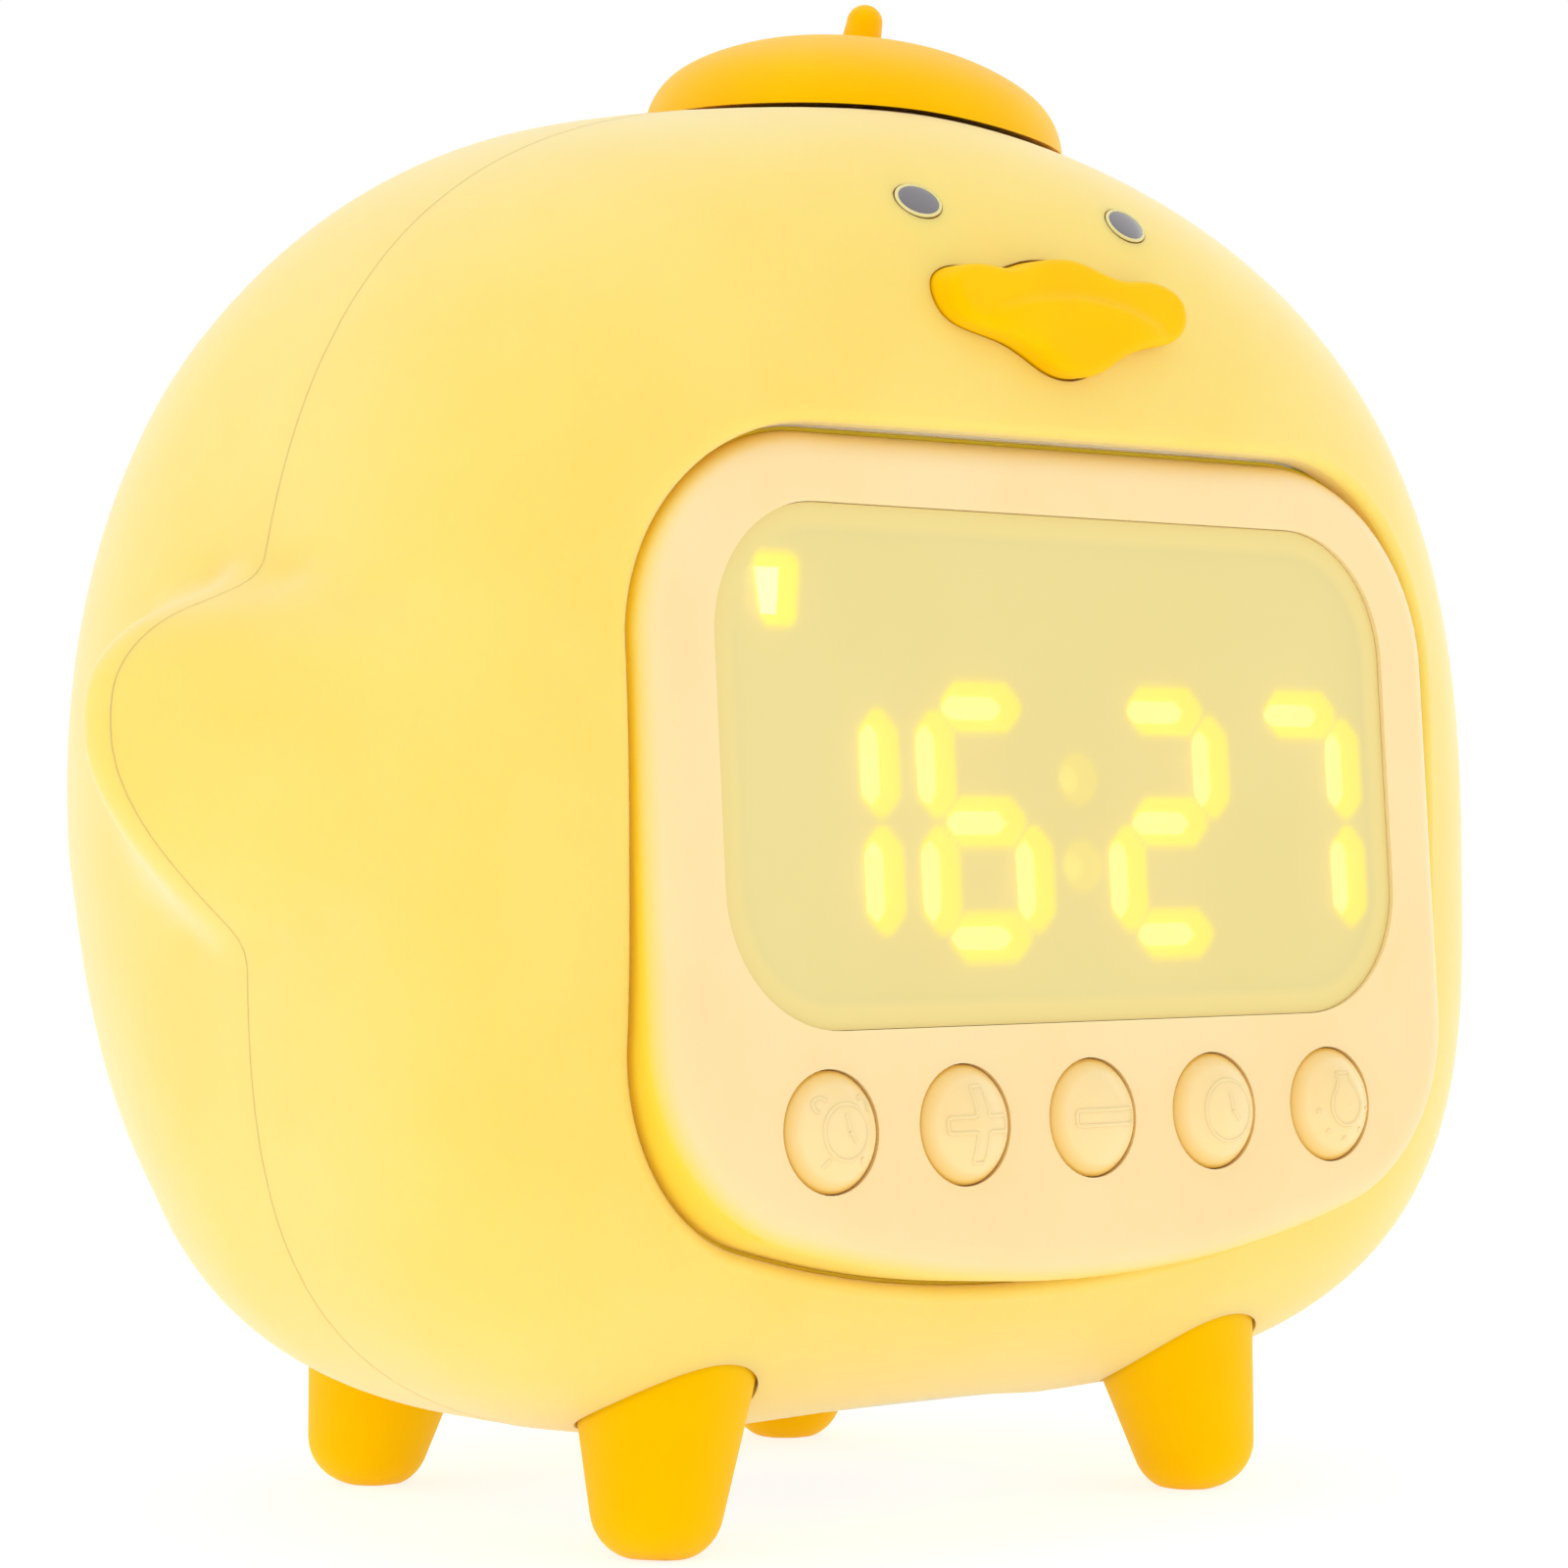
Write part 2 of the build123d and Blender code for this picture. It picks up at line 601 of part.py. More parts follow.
def display_lens():
    return prism(window_outline(-LENS_FIT), LENS_BACK, -LENS_RECESS)


def light_guide():
    """The block behind the lens, with a light well for every bar, dot and sign."""
    body = prism(window_outline(-WINDOW_LIP - GUIDE_GAP), GUIDE_BACK, GUIDE_FRONT)
    wells = shown_bars(True) + shown_bars(False) + colon_faces() + [indicator_face()]
    for face in wells:
        body -= prism(face, GUIDE_BACK, GUIDE_FRONT)
    return one(body)


def inlay(faces):
    """Bars or dots, each a plate in the mouth of its light well."""
    return Compound([one(prism(face, GUIDE_FRONT - BAR_DEPTH, GUIDE_FRONT)) for face in faces])


def front_board():
    body = prism(bezel_outline(-BEZEL_WALL - BOARD_GAP), FRONT_BOARD_FACE - BOARD, FRONT_BOARD_FACE)
    for u, v in pairs(LONG_BOSSES):
        body -= disc(u, v, BOSS_RADIUS + BOARD_GAP, FRONT_BOARD_FACE - BOARD, FRONT_BOARD_FACE)
    for u, v in pairs(SHORT_BOSSES):
        body -= disc(u, v, SCREW_HOLE_RADIUS, FRONT_BOARD_FACE - BOARD, FRONT_BOARD_FACE)
    return one(body)


def segment_leds():
    """One small LED on the board behind each light well."""
    wells = shown_bars(True) + shown_bars(False) + colon_faces() + [indicator_face()]
    height = GUIDE_BACK - FRONT_BOARD_FACE - GUIDE_GAP / 2
    leds = []
    for face in wells:
        middle = face.center()
        plate = Pos(middle.X, middle.Y) * Rectangle(SEGMENT_LED_WIDTH, SEGMENT_LED_HEIGHT)
        leds.append(one(prism(plate, FRONT_BOARD_FACE, FRONT_BOARD_FACE + height)))
    return Compound(leds)


def tact_switches():
    """The five switches that the keys press."""
    switches = []
    for u, v in key_places():
        case = prism(Pos(u, v) * Rectangle(SWITCH_SIZE, SWITCH_SIZE), FRONT_BOARD_FACE,
                     FRONT_BOARD_FACE + SWITCH_HEIGHT)
        switches.append(one(case + disc(u, v, PLUNGER_RADIUS, FRONT_BOARD_FACE + SWITCH_HEIGHT,
                                        PLUNGER_TOP)))
    return Compound(switches)


def push_key(u, v):
    """A domed key with a flange behind the bezel and a stem over its switch."""
    cap = KEY_DOME_RADIUS - sqrt(KEY_DOME_RADIUS ** 2 - KEY_RADIUS ** 2)
    shoulder = KEY_APEX - cap
    profile = make_face([
        Line((0, KEY_BACK), (KEY_RADIUS, KEY_BACK)),
        Line((KEY_RADIUS, KEY_BACK), (KEY_RADIUS, shoulder)),
        CenterArc((0, KEY_APEX - KEY_DOME_RADIUS), KEY_DOME_RADIUS,
                  degrees(atan2(shoulder - KEY_APEX + KEY_DOME_RADIUS, KEY_RADIUS)),
                  90 - degrees(atan2(shoulder - KEY_APEX + KEY_DOME_RADIUS, KEY_RADIUS))),
        Line((0, KEY_APEX), (0, KEY_BACK)),
    ])
    turned = revolve(Plane.XZ * profile, Axis.Z)
    body = FACE * Pos(u, v, 0) * turned
    body += disc(u, v, KEY_FLANGE_RADIUS, KEY_BACK, KEY_BACK + KEY_FLANGE)
    body += disc(u, v, KEY_STEM_RADIUS, KEY_BACK - KEY_STEM, KEY_BACK)
    return one(body)


def face_screw(u, v, w_seat):
    """A small screw driven from behind into a bezel boss."""
    shank = disc(u, v, SCREW_RADIUS, w_seat, w_seat + SCREW_LENGTH)
    return one(shank + disc(u, v, SCREW_HEAD_RADIUS, w_seat - SCREW_HEAD, w_seat))


# ---------------------------------------------------------------- beret
def beret_dome():
    """The beret's cap, turned about its own axis: a low crown and a skirt curling under."""
    hem = (BERET_RADIUS - BERET_RIM_CURL, -BERET_RIM_DROP)
    outer = Spline((0, BERET_DOME), (BERET_RADIUS * 0.42, BERET_DOME * 0.925),
                   (BERET_RADIUS * 0.74, BERET_DOME * 0.66), (BERET_RADIUS * 0.94, BERET_DOME * 0.28),
                   (BERET_RADIUS, BERET_WIDEST), hem, tangents=[(1, 0), (-0.5, -1)])
    base = Line(hem, (0, -BERET_RIM_DROP))
    profile = make_face([outer, base, Line((0, -BERET_RIM_DROP), (0, BERET_DOME))])
    return BERET * revolve(Plane.XZ * profile, Axis.Z)


def beret_stalk():
    """The short stalk: a tapered round-topped nub that leans to one side."""
    foot = Pos(STALK_ASIDE, 0, BERET_DOME - STALK_RADIUS) * Circle(STALK_RADIUS)
    centre = Pos(STALK_ASIDE + STALK_RADIUS - STALK_TIP_RADIUS, 0,
                 BERET_DOME + STALK_HEIGHT - STALK_TIP_RADIUS)
    nub = loft([foot, centre * Circle(STALK_TIP_RADIUS)])
    return BERET * (nub + centre * Sphere(STALK_TIP_RADIUS))


def beret_key():
    """Cap, stalk and neck in one: pressed, it works the switch under it."""
    cap = beret_dome() - egg(-BERET_GAP)
    neck = BERET * Pos(0, 0, -NECK_LENGTH / 2) * Cylinder(NECK_RADIUS, NECK_LENGTH)
    hollow = BERET * Pos(0, 0, -NECK_LENGTH / 2 - NECK_WALL) * Cylinder(NECK_RADIUS - NECK_WALL,
                                                                       NECK_LENGTH)
    pusher = BERET * Pos(0, 0, -PUSHER_LENGTH / 2) * Cylinder(PUSHER_RADIUS, PUSHER_LENGTH)
    return one(cap + beret_stalk() + (neck - hollow) + pusher)


def beret_retainer():
    """The ring on the neck that keeps the beret in the head."""
    ring = Cylinder(RETAINER_RADIUS, 3 * RETAINER_THICKNESS) - Cylinder(NECK_RADIUS,
                                                                       3 * RETAINER_THICKNESS)
    low = -CORE_INNER - RETAINER_GAP - RETAINER_THICKNESS
    ring = BERET * Pos(0, 0, low + 1.5 * RETAINER_THICKNESS) * ring
    return one(ring & egg(CORE_INNER + RETAINER_GAP))


def top_board():
    plate = Box(TOP_BOARD_WIDTH, TOP_BOARD_DEPTH, BOARD)
    return BERET * Pos(0, 0, TOP_BOARD_FACE - BOARD / 2) * plate


def snooze_switch():
    case = Pos(0, 0, TOP_BOARD_FACE + SWITCH_HEIGHT / 2) * Box(SWITCH_SIZE, SWITCH_SIZE,
                                                              SWITCH_HEIGHT)
    plunger = Pos(0, 0, TOP_SWITCH_FACE - PLUNGER_HEIGHT / 2) * Cylinder(PLUNGER_RADIUS,
                                                                        PLUNGER_HEIGHT)
    return one(BERET * (case + plunger))


# ---------------------------------------------------------------- face
def beak_outline(grow=0.0):
    """The bill's outline seen from the front, as a closed curve in X and Z."""
    middle = (BEAK_RIGHT_HALF[0][1] + BEAK_RIGHT_HALF[-1][1]) / 2
    right = []
    for x, z in BEAK_RIGHT_HALF:
        away = hypot(x, z - middle)
        share = (away + grow) / away
        right.append((x * share, middle + (z - middle) * share))
    left = [(-x, z) for x, z in reversed(right[1:-1])]
    return make_face(Spline(*right, *left, periodic=True))


def beak_prism(grow):
    face = Plane(origin=(0, EGG_Y, 0), x_dir=(1, 0, 0), z_dir=(0, -1, 0)) * beak_outline(grow)
    return extrude(face, amount=EGG_FRONT_DEPTH + 10, dir=(0, -1, 0))


def beak():
    """The raised bill, seated in a pocket of the skin."""
    body = (beak_prism(0) & egg(-BEAK_RISE)) - egg(BEAK_SEAT)
    rim = body.faces().sort_by(Axis.Y)[0].edges()
    return one(fillet(rim, BEAK_ROUND))


def eye_plane(side):
    x = side * EYE_X
    out = egg_front_normal(x, EYE_Z)
    level = Vector(0, 0, 1).cross(out)
    return Plane(origin=(x, egg_front_y(x, EYE_Z), EYE_Z), x_dir=level, z_dir=out)


def eye(side):
    """A flat dark oval, flush with the skin."""
    oval = Ellipse(EYE_HALF_WIDTH, EYE_HALF_HEIGHT)
    return eye_plane(side) * extrude(oval, amount=-EYE_THICKNESS)


def eye_pocket(side):
    pocket = Ellipse(EYE_HALF_WIDTH + EYE_GAP, EYE_HALF_HEIGHT + EYE_GAP)
    deep = EYE_THICKNESS + EYE_GAP
    return eye_plane(side) * Pos(0, 0, -deep) * extrude(pocket, amount=2 * deep)


# ---------------------------------------------------------------- feet
FEET = {
    "foot_front_left": (-FOOT_FRONT_X, EGG_Y - FOOT_FRONT_AHEAD),
    "foot_front_right": (FOOT_FRONT_X, EGG_Y - FOOT_FRONT_AHEAD),
    "foot_rear_left": (-FOOT_REAR_X, EGG_Y + FOOT_REAR_BEHIND),
    "foot_rear_right": (FOOT_REAR_X, EGG_Y + FOOT_REAR_BEHIND),
}


def foot_axis(x, y):
    """Upward direction of a foot, which splays outwards towards the table."""
    away = hypot(x, y - EGG_Y)
    splay = sin(radians(FOOT_SPLAY))
    return Vector(-x / away * splay, -(y - EGG_Y) / away * splay, cos(radians(FOOT_SPLAY)))


def foot_blank(x, y, grow=0.0):
    """A tapered, round-ended foot that runs on up into the body."""
    top_radius = FOOT_END_RADIUS + FOOT_TAPER * FOOT_BLANK + grow
    cone = Pos(0, 0, FOOT_BLANK / 2) * Cone(FOOT_END_RADIUS + grow, top_radius, FOOT_BLANK)
    if grow == 0:
        cone = fillet(cone.edges().sort_by(Axis.Z)[0], FOOT_ROUND)
    return Plane(origin=(x, y, -FOOT_FLAT), z_dir=foot_axis(x, y)) * cone


def foot(x, y):
    body = foot_blank(x, y) - egg(CORE_OUTER)
    body -= block((x - 20, x + 20), (y - 20, y + 20), (-5, 0))
    axis = foot_axis(x, y)
    seat = Vector(x, y, -FOOT_FLAT) + axis * (foot_wall(x, y) + FOOT_PAD)
    body -= rod(seat - axis * (FOOT_SCREW_LENGTH + 1), axis, FOOT_SCREW_LENGTH + 1,
                FOOT_SCREW_RADIUS + FOOT_PILOT_GAP)
    return one(body)


def foot_wall(x, y):
    """Distance up a foot's axis to the inside of the core's wall."""
    start = Vector(x, y, -FOOT_FLAT)
    return way_in(start, foot_axis(x, y), CORE_INNER) + FOOT_PAD_ABOVE_WALL


def foot_screw(x, y):
    axis = foot_axis(x, y)
    seat = Vector(x, y, -FOOT_FLAT) + axis * (foot_wall(x, y) + FOOT_PAD)
    shank = rod(seat - axis * FOOT_SCREW_LENGTH, axis, FOOT_SCREW_LENGTH, FOOT_SCREW_RADIUS)
    return one(shank + rod(seat, axis, FOOT_SCREW_HEAD, FOOT_SCREW_HEAD_RADIUS))


# ---------------------------------------------------------------- core, skin and base
def port_plane(y):
    return Plane(origin=(0, y, PORT_Z), x_dir=(1, 0, 0), z_dir=(0, 1, 0))


def port_prism(width, height, corner, y_from, y_to):
    face = RectangleRounded(width, height, corner)
    return port_plane(y_from) * extrude(face, amount=y_to - y_from, dir=(0, 0, 1))


REAR_Y = EGG_Y + EGG_REAR_DEPTH
PORT_FACE_Y = egg_profile(PORT_Z)[3] + egg_profile(PORT_Z)[2]
PORT_INNER_Y = PORT_FACE_Y - PORT_DEPTH


def port_frame():
    """The inlet's frame: through the core and skin, with a flange inside."""
    body = port_prism(PORT_WIDTH, PORT_HEIGHT, PORT_CORNER, PORT_INNER_Y, REAR_Y) & egg(0)
    lip = port_prism(PORT_WIDTH + 2 * PORT_FLANGE_LIP, PORT_HEIGHT + 2 * PORT_FLANGE_LIP,
                     PORT_CORNER + PORT_FLANGE_LIP, PORT_INNER_Y - PORT_FLANGE,
                     PORT_INNER_Y) & egg(CORE_INNER + PORT_SEAT_GAP)
    mouth = port_prism(PORT_MOUTH_WIDTH, PORT_MOUTH_HEIGHT, PORT_MOUTH_CORNER,
                       PORT_INNER_Y - PORT_FLANGE, REAR_Y)
    return one(body + lip - mouth)


def silicone_skin():
    """The soft outer skin with its wings and its openings."""
    body = egg(0, True) - egg(SKIN_WALL)
    body -= prism(bezel_outline(BEZEL_SKIN_GAP), -BEZEL_DEPTH, 20)
    body -= base_oval(SKIN_GAP)
    body -= BERET * Cylinder(NECK_RADIUS + NECK_GAP, 20)
    body -= port_prism(PORT_WIDTH + 2 * SKIN_GAP, PORT_HEIGHT + 2 * SKIN_GAP,
                       PORT_CORNER + SKIN_GAP, PORT_INNER_Y, REAR_Y)
    for x, y in FEET.values():
        body -= foot_blank(x, y, SKIN_GAP)
    body -= beak_prism(BEAK_GAP) - egg(BEAK_SEAT + BEAK_GAP)
    for side in (-1, 1):
        body -= eye_pocket(side)
    body = one(body)
    return one(fillet([edge for edge in body.edges() if on_bezel_rim(edge)], SKIN_LIP))


def on_bezel_rim(edge):
    """Whether an edge of the skin is part of its outer rim round the bezel."""
    for share in (0.1, 0.5, 0.9):
        place = edge.position_at(share)
        inside = abs(place.X) < BEZEL_HALF_WIDTH + 3 and abs(place.Z - FACE_Z) < BEZEL_HALF_WIDTH
        if not inside or abs(egg_front_y(place.X, place.Z) - place.Y) > 0.1:
            return False
    return True


def base_oval(grow, z_top=30.0):
    oval = Ellipse(COVER_HALF_WIDTH + grow, COVER_HALF_DEPTH + grow)
    return Pos(0, EGG_Y + EGG_BOTTOM_SHIFT, 0) * extrude(oval, amount=z_top)


def base_cover():
    """The cover in the underside, with the speaker's grille."""
    body = (base_oval(0) & egg(COVER_INSET)) - egg(COVER_INSET + COVER_WALL)
    for ring in range(GRILLE_RINGS + 1):
        count = max(1, 6 * ring)
        for i in range(count):
            turn = radians(360 * i / count)
            x = ring * GRILLE_STEP * cos(turn)
            y = EGG_Y - SPEAKER_AHEAD + ring * GRILLE_STEP * sin(turn)
            body -= Pos(x, y, 10) * Cylinder(GRILLE_RADIUS, 30)
    return one(body)


def core():
    """The whole hard core, before it is split: a wall, a bezel collar, and its openings."""
    wall = egg(CORE_OUTER) - egg(CORE_INNER)
    collar_depth = BEZEL_DEPTH + LEDGE_THICKNESS
    grow = INNER_GAP + COLLAR_WALL
    wall += prism(bezel_outline(grow), -collar_depth, 10) & egg(BOSS_INSET)
    wall -= prism(bezel_outline(INNER_GAP), -BEZEL_DEPTH, 20)
    wall -= prism(bezel_outline(-LEDGE_WIDTH), -collar_depth - 1, 20)
    for u, v in pairs(LONG_BOSSES):
        wall -= disc(u, v, SCREW_HOLE_RADIUS, -collar_depth - 1, -BEZEL_DEPTH + 1)
    wall -= base_oval(-COVER_SEAT)
    wall -= BERET * Cylinder(NECK_RADIUS + NECK_GAP, 24)
    wall -= port_prism(PORT_WIDTH + 2 * INNER_GAP, PORT_HEIGHT + 2 * INNER_GAP,
                       PORT_CORNER + INNER_GAP, PORT_INNER_Y - 4, REAR_Y)
    for x, y in FEET.values():
        axis = foot_axis(x, y)
        start = Vector(x, y, -FOOT_FLAT)
        height = foot_wall(x, y)
        pad = rod(start, axis, height + FOOT_PAD, FOOT_PAD_RADIUS) & egg(BOSS_INSET)
        wall += pad
        wall -= rod(start, axis, height + FOOT_PAD, FOOT_SCREW_RADIUS + INNER_GAP)
    return wall


def core_screw_places():
    return pairs((CORE_SCREW_UPPER, CORE_SCREW_LOWER))


def core_boss(x, z, ahead):
    """A screw boss from the wall to the bulkhead, in front of it or behind it."""
    face = Pos(x, 0, z) * Rot(90, 0, 0) * Circle(CORE_BOSS_RADIUS)
    if ahead:
        return extrude(Pos(0, EGG_Y, 0) * face, amount=80, dir=(0, -1, 0)) & egg(BOSS_INSET)
    start = EGG_Y + BULKHEAD
    return extrude(Pos(0, start, 0) * face, amount=80, dir=(0, 1, 0)) & egg(BOSS_INSET)


def y_bar(x, z, radius, y_from, y_to):
    """A round bar along Y."""
    return rod(Vector(x, y_from, z), Vector(0, 1, 0), y_to - y_from, radius)


@cache
def core_halves():
    """The front and rear core shells, split at the centre line."""
    whole = core()
    front = whole & block((-90, 90), (EGG_Y - 90, EGG_Y), (0, 140))
    rear = whole & block((-90, 90), (EGG_Y, EGG_Y + 90), (0, 140))
    seat = EGG_Y + BULKHEAD + CORE_SHOULDER
    for x, z in core_screw_places():
        front += core_boss(x, z, True)
        front -= y_bar(x, z, CORE_PILOT, EGG_Y - CORE_PILOT_DEPTH, EGG_Y)
        rear += core_boss(x, z, False)
        rear -= y_bar(x, z, CORE_SHANK_BORE, EGG_Y, seat)
        rear -= y_bar(x, z, CORE_HEAD_BORE, seat, REAR_Y)
    front -= prism(bezel_outline(INNER_GAP), -BEZEL_DEPTH, 20)
    return one(front), one(rear)


def core_screws():
    """Four screws that hold the rear shell and the bulkhead to the front shell."""
    seat = EGG_Y + BULKHEAD + CORE_SHOULDER
    screws = []
    for x, z in core_screw_places():
        shank = y_bar(x, z, CORE_SHANK_RADIUS, seat - CORE_SCREW_LENGTH, seat)
        screws.append(one(shank + y_bar(x, z, CORE_HEAD_RADIUS, seat, seat + CORE_HEAD)))
    return Compound(screws)


# ---------------------------------------------------------------- chassis and what it carries
SPEAKER_Y = EGG_Y - SPEAKER_AHEAD
SHELF_TOP_Z = BULKHEAD_BOTTOM_Z + SPEAKER_SHELF
MAIN_BOARD_Z = SOCKET_Z - BOARD
LIGHT_BOARD_Y = EGG_Y + BULKHEAD + LIGHT_STANDOFF
RAIL_X = MAIN_BOARD_HALF_WIDTH - RAIL_WIDTH


def light_board_corners():
    half = (LIGHT_BOARD_WIDTH / 2 - STANDOFF_INSET, LIGHT_BOARD_HEIGHT / 2 - STANDOFF_INSET)
    return [(sx * half[0], LIGHT_BOARD_Z + sz * half[1]) for sx in (-1, 1) for sz in (-1, 1)]


def chassis():
    """The bulkhead with the speaker shelf, board rails, standoffs and top shelf."""
    plate = block((-80, 80), (EGG_Y, EGG_Y + BULKHEAD), (BULKHEAD_BOTTOM_Z, EGG_TOP_Z))
    plate -= block((-SPEAKER_BAY_HALF_WIDTH, SPEAKER_BAY_HALF_WIDTH), (EGG_Y - 1, EGG_Y + 5),
                   (0, SPEAKER_BAY_TOP_Z))
    for x in (DISPLAY_SLOT_X, BATTERY_SLOT_X):
        plate -= block((x - SLOT_WIDTH / 2, x + SLOT_WIDTH / 2), (EGG_Y - 1, EGG_Y + 5),
                       (SLOT_Z - SLOT_HEIGHT / 2, SLOT_Z + SLOT_HEIGHT / 2))
    shelf_top = TOP_BOARD_FACE - BOARD
    plate -= BERET * Pos(0, 0, shelf_top + 20) * Box(150, 150, 40)
    plate += BERET * Pos(0, 0, shelf_top - SPEAKER_SHELF / 2) * Box(TOP_BOARD_WIDTH, TOP_BOARD_DEPTH,
                                                                    SPEAKER_SHELF)
    shelf = block((-SPEAKER_SHELF_HALF_WIDTH, SPEAKER_SHELF_HALF_WIDTH),
                  (EGG_Y - EGG_FRONT_DEPTH, EGG_Y + SPEAKER_SHELF_BEHIND),
                  (BULKHEAD_BOTTOM_Z, SHELF_TOP_Z))
    plate += shelf
    for side in (-1, 1):
        inner, outer = sorted((side * RAIL_X, side * (RAIL_X + RAIL_WIDTH)))
        plate += block((inner, outer), (EGG_Y + BULKHEAD, EGG_Y + BULKHEAD + RAIL_LENGTH),
                       (MAIN_BOARD_Z - RAIL_HEIGHT, MAIN_BOARD_Z))
    for x, z in light_board_corners():
        plate += y_bar(x, z, STANDOFF_RADIUS, EGG_Y + BULKHEAD, LIGHT_BOARD_Y)
        plate -= y_bar(x, z, PILOT_RADIUS, EGG_Y + 1, LIGHT_BOARD_Y)
    plate &= egg(FRAME_INSET)
    plate -= Pos(0, SPEAKER_Y, 0) * Cylinder(SPEAKER_MOUTH, 100)
    for x, z in core_screw_places():
        plate -= y_bar(x, z, CORE_SHANK_BORE, EGG_Y - 1, EGG_Y + BULKHEAD + 1)
    return one(plate)


def speaker():
    """A small round speaker, cone down, with its magnet above."""
    rim = Pos(0, SPEAKER_Y, SHELF_TOP_Z + SPEAKER_FLANGE / 2) * Cylinder(SPEAKER_RADIUS,
                                                                        SPEAKER_FLANGE)
    height = SPEAKER_HEIGHT - SPEAKER_FLANGE
    basket = Pos(0, SPEAKER_Y, SHELF_TOP_Z + SPEAKER_FLANGE + height / 2) * Cone(
        SPEAKER_RADIUS - RING_WIDTH, SPEAKER_MAGNET_RADIUS, height)
    mouth = Pos(0, SPEAKER_Y, SHELF_TOP_Z) * Cone(SPEAKER_MOUTH - CONE_MARGIN, CONE_HUB,
                                               CONE_DEPTH)
    return one(rim + basket - mouth)


def speaker_ring():
    """The clamp ring on the speaker's rim, with two ears."""
    z = SHELF_TOP_Z + SPEAKER_FLANGE + RING_THICKNESS / 2
    rim = SPEAKER_RADIUS + RING_OVERHANG
    ring = Cylinder(rim, RING_THICKNESS)
    ears = Box(2 * (SPEAKER_RADIUS + RING_EAR), RING_EAR_WIDTH, RING_THICKNESS)
    hole = Cylinder(SPEAKER_RADIUS - RING_WIDTH + RING_SLACK, RING_THICKNESS)
    body = Pos(0, SPEAKER_Y, z) * (ring + ears - hole)
    legs = None
    for side in (-1, 1):
        inner, outer = sorted((side * rim, side * (SPEAKER_RADIUS + RING_EAR)))
        leg = block((inner, outer), (SPEAKER_Y - RING_EAR_WIDTH / 2, SPEAKER_Y + RING_EAR_WIDTH / 2),
                    (SHELF_TOP_Z, SHELF_TOP_Z + SPEAKER_FLANGE))
        legs = leg if legs is None else legs + leg
    return one(body + legs)


CELL_Y = EGG_Y - CELL_AHEAD


def battery_cell():
    """One round cell, its positive nub to the right."""
    can = Rot(0, 90, 0) * Cylinder(CELL_RADIUS, CELL_LENGTH - CELL_NUB)
    nub = Pos(CELL_LENGTH / 2, 0, 0) * Rot(0, 90, 0) * Cylinder(CELL_NUB_RADIUS, CELL_NUB)
    can = fillet(can.edges(), CELL_EDGE)
    return one(Pos(-CELL_NUB / 2, CELL_Y, CELL_Z) * (can + nub))


def battery_holder():
    """A tray screwed to the bulkhead, open at the top."""
    half = CELL_LENGTH / 2 + CELL_GAP
    bore = CELL_RADIUS + CELL_GAP
    front = CELL_Y - bore - HOLDER_WALL
    body = block((-half - HOLDER_END, half + HOLDER_END), (front, EGG_Y),
                 (CELL_Z - bore - HOLDER_WALL, CELL_Z + HOLDER_ABOVE_AXIS))
    body -= Pos(0, CELL_Y, CELL_Z) * Rot(0, 90, 0) * Cylinder(bore, 2 * half)
    body -= block((-half, half), (CELL_Y - bore, CELL_Y + bore), (CELL_Z, CELL_Z + 10))
    return one(body)


def main_board():
    plate = block((-MAIN_BOARD_HALF_WIDTH, MAIN_BOARD_HALF_WIDTH),
                  (EGG_Y + MAIN_BOARD_FRONT, PORT_INNER_Y - PORT_FLANGE - INNER_GAP),
                  (MAIN_BOARD_Z, SOCKET_Z)) & egg(MAIN_BOARD_EGG_INSET)
    tongue = block((-BOARD_TONGUE / 2, BOARD_TONGUE / 2),
                   (EGG_Y + MAIN_BOARD_FRONT, PORT_FACE_Y - SOCKET_BEHIND - 1),
                   (MAIN_BOARD_Z, SOCKET_Z))
    return one(plate + tongue)


def main_chips():
    """The controller, the charger chip, the clock crystal and a capacitor on the main board."""
    z = SOCKET_Z
    y = EGG_Y + MAIN_BOARD_FRONT
    controller = block((-14, -7), (y + 8, y + 15), (z, z + 1.4))
    charger = block((6, 10), (y + 10, y + 15), (z, z + 1.5))
    crystal = block((-3, 3), (y + 5, y + 7), (z, z + 2.0))
    capacitor = Pos(2, y + 12, z + 2.5) * Cylinder(2.5, 5)
    return Compound([controller, charger, crystal, one(capacitor)])


def usb_socket():
    """The charging socket: a metal sleeve with a tongue."""
    mouth = PORT_FACE_Y - SOCKET_BEHIND
    back = mouth - SOCKET_DEPTH
    corner = SOCKET_HEIGHT / 2 - SOCKET_END_FLAT
    shell = port_prism(SOCKET_WIDTH, SOCKET_HEIGHT, corner, back, mouth)
    shell -= port_prism(SOCKET_WIDTH - 2 * SOCKET_WALL, SOCKET_HEIGHT - 2 * SOCKET_WALL,
                        corner - SOCKET_WALL, back + SOCKET_BACK, mouth)
    tongue = block((-TONGUE_WIDTH / 2, TONGUE_WIDTH / 2), (back + 1, mouth - TONGUE_BEHIND_MOUTH),
                   (PORT_Z - TONGUE_HEIGHT / 2, PORT_Z + TONGUE_HEIGHT / 2))
    return one(shell + tongue)


def light_board():
    plate = block((-LIGHT_BOARD_WIDTH / 2, LIGHT_BOARD_WIDTH / 2),
                  (LIGHT_BOARD_Y, LIGHT_BOARD_Y + BOARD),
                  (LIGHT_BOARD_Z - LIGHT_BOARD_HEIGHT / 2, LIGHT_BOARD_Z + LIGHT_BOARD_HEIGHT / 2))
    for x, z in light_board_corners():
        plate -= y_bar(x, z, SCREW_HOLE_RADIUS, LIGHT_BOARD_Y, LIGHT_BOARD_Y + BOARD)
    return one(plate)


